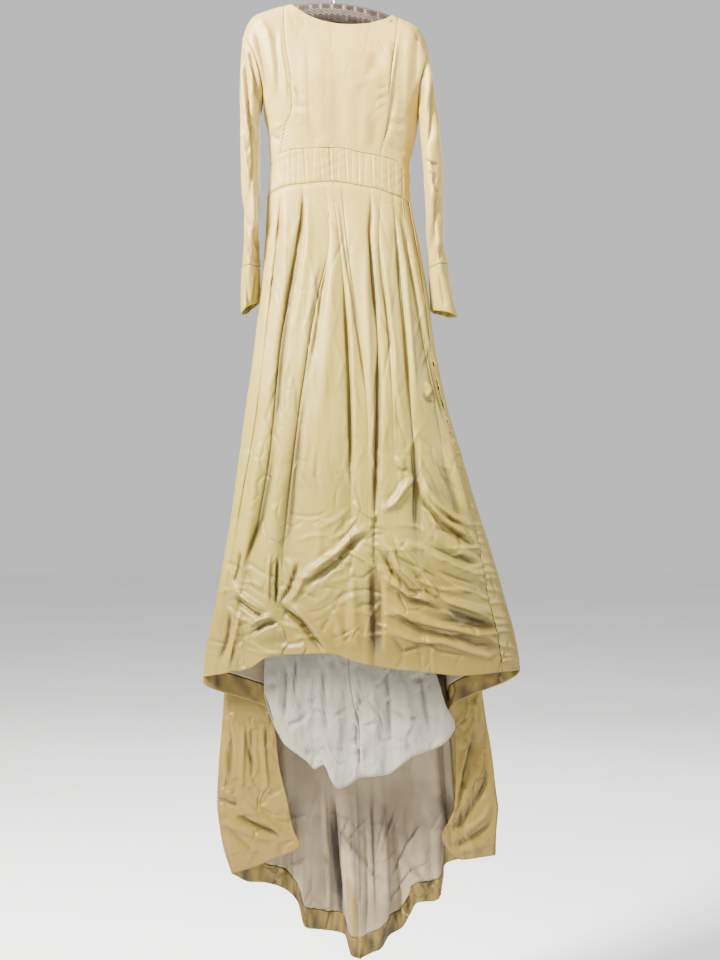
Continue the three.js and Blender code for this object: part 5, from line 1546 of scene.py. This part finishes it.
TRAIN_FOLDS = [
    Crease(-15, 8, 6, [(0, 1790), (2, 1860), (8, 1940), (16, 2030), (20, 2090)]),
    Crease(11, 12, 6, [(-26, 1790), (-22, 1880), (-16, 1990), (-12, 2110)]),
    Crease(9, 6, 10, [(30, 1800), (36, 1900), (40, 2000), (44, 2150)]),
    Crease(-7, 8, 8, [(-52, 1800), (-50, 1900), (-46, 2000), (-48, 2110)]),
    Crease(8, 10, 9, [(-84, 1820), (-80, 1910), (-74, 2010), (-70, 2070)]),
    Crease(-7, 9, 9, [(-112, 1850), (-108, 1930), (-104, 2020)]),
    Crease(7, 9, 9, [(-142, 1860), (-140, 1930), (-138, 2010)]),
    Crease(-6, 8, 9, [(66, 1830), (72, 1930), (74, 2040), (70, 2160)]),
    Crease(9, 8, 8, [(104, 1830), (108, 1920), (112, 2020), (112, 2140)]),
    Crease(-8, 8, 8, [(128, 1840), (136, 1930), (146, 2020), (150, 2110)]),
    Crease(7, 9, 10, [(160, 1830), (170, 1930), (180, 2020), (184, 2070)]),
    Crease(-9, 9, 9, [(196, 1820), (206, 1910), (216, 1990), (222, 2050)]),
    Crease(8, 9, 9, [(226, 1810), (238, 1880), (250, 1960)]),
    Crease(-6, 9, 9, [(256, 1800), (268, 1870), (280, 1940)]),
]
BACK_SKIRT_CREASES = [
    Crease(7, 16, 10, [(-100, 560), (-110, 800), (-118, 1100), (-120, 1400), (-110, 1700)]),
    Crease(-7, 10, 16, [(-74, 560), (-80, 840), (-84, 1150), (-78, 1500), (-70, 1800)]),
    Crease(7, 14, 10, [(-44, 540), (-48, 820), (-46, 1200), (-40, 1600), (-36, 2000)]),
    Crease(-7, 10, 14, [(-16, 540), (-18, 840), (-12, 1250), (-6, 1700)]),
    Crease(6, 14, 12, [(20, 560), (24, 900), (30, 1300), (40, 1800)]),
    Crease(-7, 12, 12, [(52, 560), (60, 900), (72, 1300), (84, 1750)]),
    Crease(8, 12, 14, [(84, 560), (98, 900), (116, 1300), (130, 1800)]),
    Crease(-7, 12, 12, [(112, 580), (132, 900), (160, 1300), (182, 1700)]),
    Crease(7, 12, 14, [(140, 600), (166, 900), (204, 1300), (236, 1700)]),
    Crease(-6, 12, 12, [(160, 640), (196, 960), (244, 1350), (290, 1750)]),
    Crease(6, 12, 12, [(-130, 640), (-146, 900), (-166, 1200), (-186, 1500), (-200, 1800)]),
    Crease(-6, 12, 12, [(-120, 1200), (-142, 1500), (-156, 1800), (-160, 1980)]),
    Crease(2.5, 8, 6, [(-150, 1380), (-90, 1420), (-20, 1440), (40, 1420)]),
    Crease(2.5, 9, 6, [(60, 1500), (130, 1540), (210, 1560), (280, 1530)]),
    Crease(2, 9, 7, [(-60, 1640), (0, 1670), (70, 1668), (120, 1640)]),
] + scatter(11, 70, ((-200, 1000), (330, 2060)), 78, 24, (50, 180), (0.7, 2.0), (5.0, 9.0))

# %% [markdown]
# The lips take their creases on the side that shows, and the train takes two sets: its own on
# the back, and the folds that show on its inside through the open front, pressed the other way.

# %% Press and settle the back panels
STRIP_SHADE, LIP_PRESS = 0.12, 0.75


def strip_creases(seed, count):
    """Short level creases between the right side seam and the outline."""
    rng = np.random.default_rng(seed)
    made = []
    for drop in np.linspace(880, 1526, count) + rng.uniform(-8, 8, count):
        inner = float(read(SIDE_SEAM["drop"], SIDE_SEAM["x"], drop))
        outer = float(side_x("right", drop))
        fall = rng.uniform(-6, 10)
        middle = ((inner + outer) / 2, drop + fall / 2)
        path = [(inner - 8, drop), middle, (outer + 8, drop + fall)]
        made.append(Crease(rng.uniform(1.5, 3.5), rng.uniform(4, 6), rng.uniform(6, 9), path))
    return made


def between(marks, start, end):
    first, last = sorted((marks[start], marks[end]))
    return slice(first, last + 1)


def finish_back(name, node_name, grid, marks, lip_creases, seed):
    shade = np.zeros(grid.shape[:2])
    grid = soften(grid, 2.0, 110, seed, (1, 1, 3))
    grid = soften(grid, 0.6, 34, seed + 1, (1, 1, 2))

    def press_part(part, creases, turned=1.0, fade=1.0):
        pressed = press(grid[:, part], creases, shade[:, part], turned, fade)
        grid[:, part], shade[:, part] = pressed

    if marks["silhouette"] < marks["inner_fold"]:
        strip = slice(0, marks["silhouette"] + 1)
        press_part(strip, strip_creases(seed + 2, 30))
        shade[:, strip] += STRIP_SHADE
    lip = between(marks, "inner_fold", "outer_fold")
    lip = slice(lip.start, lip.stop - 1)
    edge = lengths(grid[:, lip], 1)
    fade = ease(edge / 20) * ease((edge[:, -1:] - edge) / 20)
    press_part(lip, scaled(lip_creases, LIP_PRESS), 1.0, fade)
    inside = scaled(TRAIN_FOLDS, -1)
    press_part(between(marks, "outer_fold", "centre"), BACK_SKIRT_CREASES + inside, -1.0)
    grid = pull_edges(grid, top=0.6, left=0.3, right=0.3)
    report(name, grid)
    thing = cloth(name, grid, SATIN, shade)
    settle(thing, [node_name], satin)
    return grid


back_right = finish_back(
    "skirt_back_right_panel", "skirt_back_right", back_right, RIGHT_MARKS, RIGHT_LIP_CREASES, 51
)
back_left = finish_back(
    "skirt_back_left_panel", "skirt_back_left", back_left, LEFT_MARKS, LEFT_LIP_CREASES, 61
)

# %% [markdown]
# ## Train lining and hem facing
# Inside the train lies a thin lining in long gores, and along the hem a band of the satin is
# turned up as a facing. Both are laid a little inside the back panel, row for row, so they can
# never cross it. The facing is eased onto a curve, which puckers its upper edge. The lining
# stops short of the outer fold, and the left one laps over the other at the centre seam.

# %% Lining creases, seen through the open front
LINING_SEAMS = [
    Crease(-3.5, 4, 6, [(-14, 1853), (44, 1938), (87, 1993), (133, 2020)]),
    Crease(-3.0, 5, 5, [(86, 1806), (88, 1900), (92, 2000), (96, 2120)]),
    Crease(-2.6, 5, 5, [(-16, 1850), (-14, 1940), (-16, 2080)]),
    Crease(-2.0, 5, 5, [(-92, 1850), (-90, 1960), (-86, 2080)]),
    Crease(-2.6, 5, 6, [(140, 1840), (116, 1900), (104, 1960)]),
    Crease(-3.0, 5, 6, [(200, 1870), (160, 1930), (122, 2010)]),
    Crease(-3.0, 5, 6, [(214, 1960), (166, 1990), (116, 2060)]),
    Crease(-2.6, 5, 6, [(150, 1960), (182, 1990), (214, 2030)]),
]
LINING_SMALL = scatter(
    12, 46, ((-150, 1830), (270, 2080)), 64, 40, (40, 130), (0.8, 2.2), (5.0, 7.0)
)
LINING_SEAMS += [crease._replace(rise=-abs(crease.rise)) for crease in LINING_SMALL]
# Painted shade in the lining's dark valleys and folds; the one patch below zero is the gold of the
# satin behind.
LINING_SHADE_AND_GOLD = [
    (11, 2000, 9, 120, -4.3, 1.4),
    (-4, 1910, 5, 70, -3, 0.7),
    (40, 2066, 12, 90, -9, -1.7),
    (42, 1880, 40, 90, 0, 0.38),
    (86, 1930, 5, 130, -1, 0.5),
    (150, 1900, 60, 12, 30, 0.25),
    (-84, 1880, 20, 120, 0, 0.25),
    (-30, 2030, 12, 60, 0, 0.3),
    (236, 1860, 22, 70, 0, 0.3),
    (182, 1880, 6, 90, 8, 0.2),
    (-150, 1960, 40, 40, 0, 0.4),
]
# Patches of painted shade on the hem facing.
FACING_SHADE = [
    (146, 2120, 60, 22, -32, 0.7),
    (60, 2180, 40, 14, 0, 0.5),
    (-96, 2070, 24, 20, 20, 0.5),
]

# %% Cut the lining and the hem band from a back panel
HEM_BAND, BAND_EDGE, CENTRE_LAP, FOLD_COLUMNS = 46, 1.5, 6, 10
LINING_HIGH, LINING_SHARE = 640, 0.42


def band_split(grid):
    """Rows of the lining and of the hem band, laid at a set height above the hem."""
    down = lengths(grid, 0)
    up = down[-1:] - down
    lined, banded = [], []
    for c in range(grid.shape[1]):
        height, points = up[::-1, c], grid[::-1, c]
        top = min(LINING_HIGH, height[-1] * LINING_SHARE)
        lining_heights = np.linspace(top, HEM_BAND + 1, 100)
        band_heights = np.linspace(HEM_BAND - 1, BAND_EDGE, 22)
        for heights, target in ((lining_heights, lined), (band_heights, banded)):
            axes = [np.interp(heights, height, points[:, k]) for k in range(3)]
            target.append(np.stack(axes, axis=-1))
    return np.stack(lined, axis=1), np.stack(banded, axis=1)


def lap_over(grid):
    """One more column past the centre seam, a little further inside the train."""
    step = grid[:, :1] - grid[:, 1:2]
    step = step / np.linalg.norm(step, axis=-1, keepdims=True)
    lap = grid[:, :1] + step * CENTRE_LAP - outward(grid)[:, :1] * 1.1
    return np.concatenate([lap, grid], axis=1)


def finish_lining(name, node_name, grid, seed):
    grid = grid - outward(grid) * (0.6 + 0.5 * smooth_noise(grid, 40, seed))[..., None]
    grid, shade = press(grid, LINING_SEAMS, np.zeros(grid.shape[:2]), -1.0)
    shade = darken(grid, shade, LINING_SHADE_AND_GOLD)
    grid = pull_edges(grid, left=0.3, right=0.3)
    report(name, grid)
    thing = cloth(name, grid, THIN_CLOTH, shade)
    settle(thing, [node_name], lining)


def finish_facing(name, node_name, grid, seed):
    grid = grid - outward(grid) * 0.8
    grid = pucker(grid, "top", 2.6, 9.5, 40, seed + 1)
    grid = pucker(grid, "bottom", 1.4, 13, 30, seed + 3)
    grid = pull_edges(grid, left=0.3, right=0.3)
    # Painted shade over the whole band, streaked upright like the shadows between its puckers.
    shade = np.clip(0.4 + 0.5 * smooth_noise(grid, 11, seed + 2, (1, 1, 3)), 0, 1)
    shade = darken(grid, shade, FACING_SHADE)
    report(name, grid)
    thing = cloth(name, grid, SATIN, shade)
    settle(thing, [node_name], facing)


# %% Line and face both halves of the train, and both sides
TRAIN, SIDE = ("outer_fold", "centre"), ("silhouette", "inner_fold")
for part, side, ends, cut, band_cut, seed in (
    ("train", "right", TRAIN, (0.42, 0.60, 0.16), (0.48, 0.045, 0.018), 71),
    ("train", "left", TRAIN, (0.42, 0.60, 0.18), (0.44, 0.045, 0.016), 73),
    ("side", "right", SIDE, (0.19, 0.43, 0.058), (0.2, 0.045, 0.0085), 75),
    ("side", "left", SIDE, (0.16, 0.43, 0.048), (0.17, 0.045, 0.0072), 77),
):
    panel, marks = (back_right, RIGHT_MARKS) if side == "right" else (back_left, LEFT_MARKS)
    laid = (panel - outward(panel) * (SATIN + LAYER_GAP))[:, between(marks, *ends)]
    if (part, side) == ("train", "left"):
        laid = lap_over(laid)
    lined, banded = band_split(laid)
    if part == "train":
        lined = lined[:, FOLD_COLUMNS:] if side == "right" else lined[:, :-FOLD_COLUMNS]
    lining_node, facing_node = f"{part}_lining_{side}", f"hem_facing_{part}_{side}"
    finish_lining(f"{part}_{side}_lining", lining_node, lined, seed)
    finish_facing(f"{part}_{side}_hem_facing", facing_node, banded, seed)


# %% [markdown]
# ## Underskirt
# The white underskirt hangs inside as a flattened tube, seamed down the middle of its front.
# Its hem is worn and uneven, and shows below the front of the skirt.

# %% Sizes of the underskirt
SLIP = dict(
    drop=[478, 500, 520, 560, 620, 800, 1000, 1300, 1515, 1569, 1603, 1651, 1800],
    left=[-141.5, -141.5, -140.5, -137, -131, -126, -124, -132, -149, -151, -151, -151, -151],
    right=[164.5, 164.5, 163.5, 162, 160, 172, 186, 206, 216, 227, 238, 262, 268],
    inset=[2.2, 2.4, 7, 15, 24, 38, 50, 62, 66, 66, 66, 66, 66],
    back_y=[25.6, 25.4, 20, 14, 10, 6, 2, -3, -6, -6, -6, -6, -6],
    middle_y=[0, 0, 0, -4, -10, -22, -36, -50, -58, -60, -60, -60, -60],
)
SLIP_HEM = dict(
    x=[-151, -136, -124, -106, -76, -55, -40, -20, -5, 10, 33, 59, 118, 143, 169, 228, 253, 268],
    front=[
        1575, 1612, 1655, 1690, 1713, 1730, 1745, 1734, 1767,
        1786, 1780, 1762, 1756, 1739, 1719, 1698, 1680, 1659,
    ],
    behind=1690,
)
SLIP_FOLDS, SLIP_FOLD_HIGH, SLIP_PRESS = 10, 4, 0.7

# %% Grid of the underskirt
def slip_at(key, drop):
    return read(SLIP["drop"], SLIP[key], drop)


def underskirt(turns, front, rows=170):
    turn, down = turns[None, :], np.linspace(0, 1, rows)[:, None]
    across = swing(turn)
    hem_x = mix(SLIP_HEM["x"][0], SLIP_HEM["x"][-1], across)
    front_hem = read(SLIP_HEM["x"], SLIP_HEM["front"], hem_x)
    hem = front_hem if front else mix(front_hem, SLIP_HEM["behind"], np.sin(np.pi * turn))
    waist_x = mix(SLIP["left"][0], SLIP["right"][0], across)
    drop = mix(seam_drop(WAIST, waist_x, front) + 1.5, hem, down)
    x = mix(slip_at("left", drop), slip_at("right", drop), across)
    middle = slip_at("middle_y", drop)
    swell = np.sqrt(np.clip(1 - np.abs(2 * across - 1) ** depth_of("squareness", drop), 0, 1))
    if not front:
        return stack(x, mix(middle, slip_at("back_y", drop), swell), -drop)
    front_y = slip_at("inset", drop) - depth_of("front", drop)
    fold = SLIP_FOLD_HIGH * np.sin(SLIP_FOLDS * np.pi * across) * swell * down
    return stack(x, mix(middle, front_y, swell) + fold, -drop)


# %% Creases of the underskirt, and its three panels
SLIP_CREASES = [
    Crease(-6, 4, 5, [(-82, 1510), (-84, 1560), (-88, 1608)]),
    Crease(6, 9, 8, [(-120, 1520), (-122, 1580), (-126, 1640)]),
    Crease(-5, 7, 7, [(-106, 1520), (-104, 1580), (-110, 1660)]),
    Crease(7, 10, 8, [(-50, 1520), (-54, 1600), (-58, 1690)]),
    Crease(-6, 8, 9, [(-20, 1520), (-22, 1600), (-16, 1700)]),
    Crease(6, 12, 10, [(16, 1520), (14, 1620), (6, 1740)]),
    Crease(-4, 3, 3, [(57, 1520), (56, 1600), (53, 1700), (50, 1760)]),
    Crease(6, 10, 12, [(84, 1530), (88, 1620), (90, 1720)]),
    Crease(-6, 9, 8, [(116, 1530), (122, 1620), (126, 1710)]),
    Crease(6, 9, 10, [(150, 1540), (160, 1620), (170, 1700)]),
    Crease(-6, 9, 9, [(190, 1540), (200, 1610), (212, 1680)]),
    Crease(6, 9, 9, [(222, 1540), (234, 1600), (244, 1660)]),
    Crease(4, 7, 7, [(20, 1640), (60, 1668), (110, 1676)]),
    Crease(-4, 7, 7, [(120, 1630), (160, 1652), (200, 1650)]),
] + scatter(10, 60, ((-140, 1520), (260, 1750)), 8, 30, (30, 110), (0.9, 2.4), (3.8, 6.5))
SLIP_PANELS = (
    ("underskirt_left", "underskirt_front_left", (0, 0.5, 50), True, (0.36, 1.32), 0.23),
    ("underskirt_right", "underskirt_front_right", (0.5, 1, 50), True, (0.25, 1.3), 0.23),
    ("underskirt_back_panel", "underskirt_back", (1, 0, 60), False, (0.54, 1.2), 0.44),
)
for name, node_name, turns, front, flat, area in SLIP_PANELS:
    grid = underskirt(np.linspace(*turns), front)
    grid = soften(grid, 1.4, 60, 81, (1, 1, 3))
    shade = np.zeros(grid.shape[:2])
    if front:
        grid, shade = press(grid, scaled(SLIP_CREASES, SLIP_PRESS), shade)
    grid = pucker(grid, "bottom", 1.2, 22, 16, 82)
    grid = pull_edges(grid, left=0.3, right=0.3)
    report(name, grid)
    thing = cloth(name, grid, THIN_CLOTH, shade)
    settle(thing, [node_name], slip)


# %% [markdown]
# ## Floor
# The dress hangs clear of a plain pale floor.

# %% Floor
bpy.ops.mesh.primitive_plane_add(size=24, location=(0, 4, -2.45))
floor = bpy.context.object
floor.name = "pale_floor"
floor_paint, tree, shader = new_material("pale_floor_paint", 0.9, 0.1)
floor_tones = [(0.3, (0.86, 0.86, 0.86)), (0.7, (0.9, 0.9, 0.9))]
put(tree, shader.inputs["Base Color"], ramp(tree, patches(tree, 0.9, 6.0), floor_tones))
floor.data.materials.append(floor_paint)
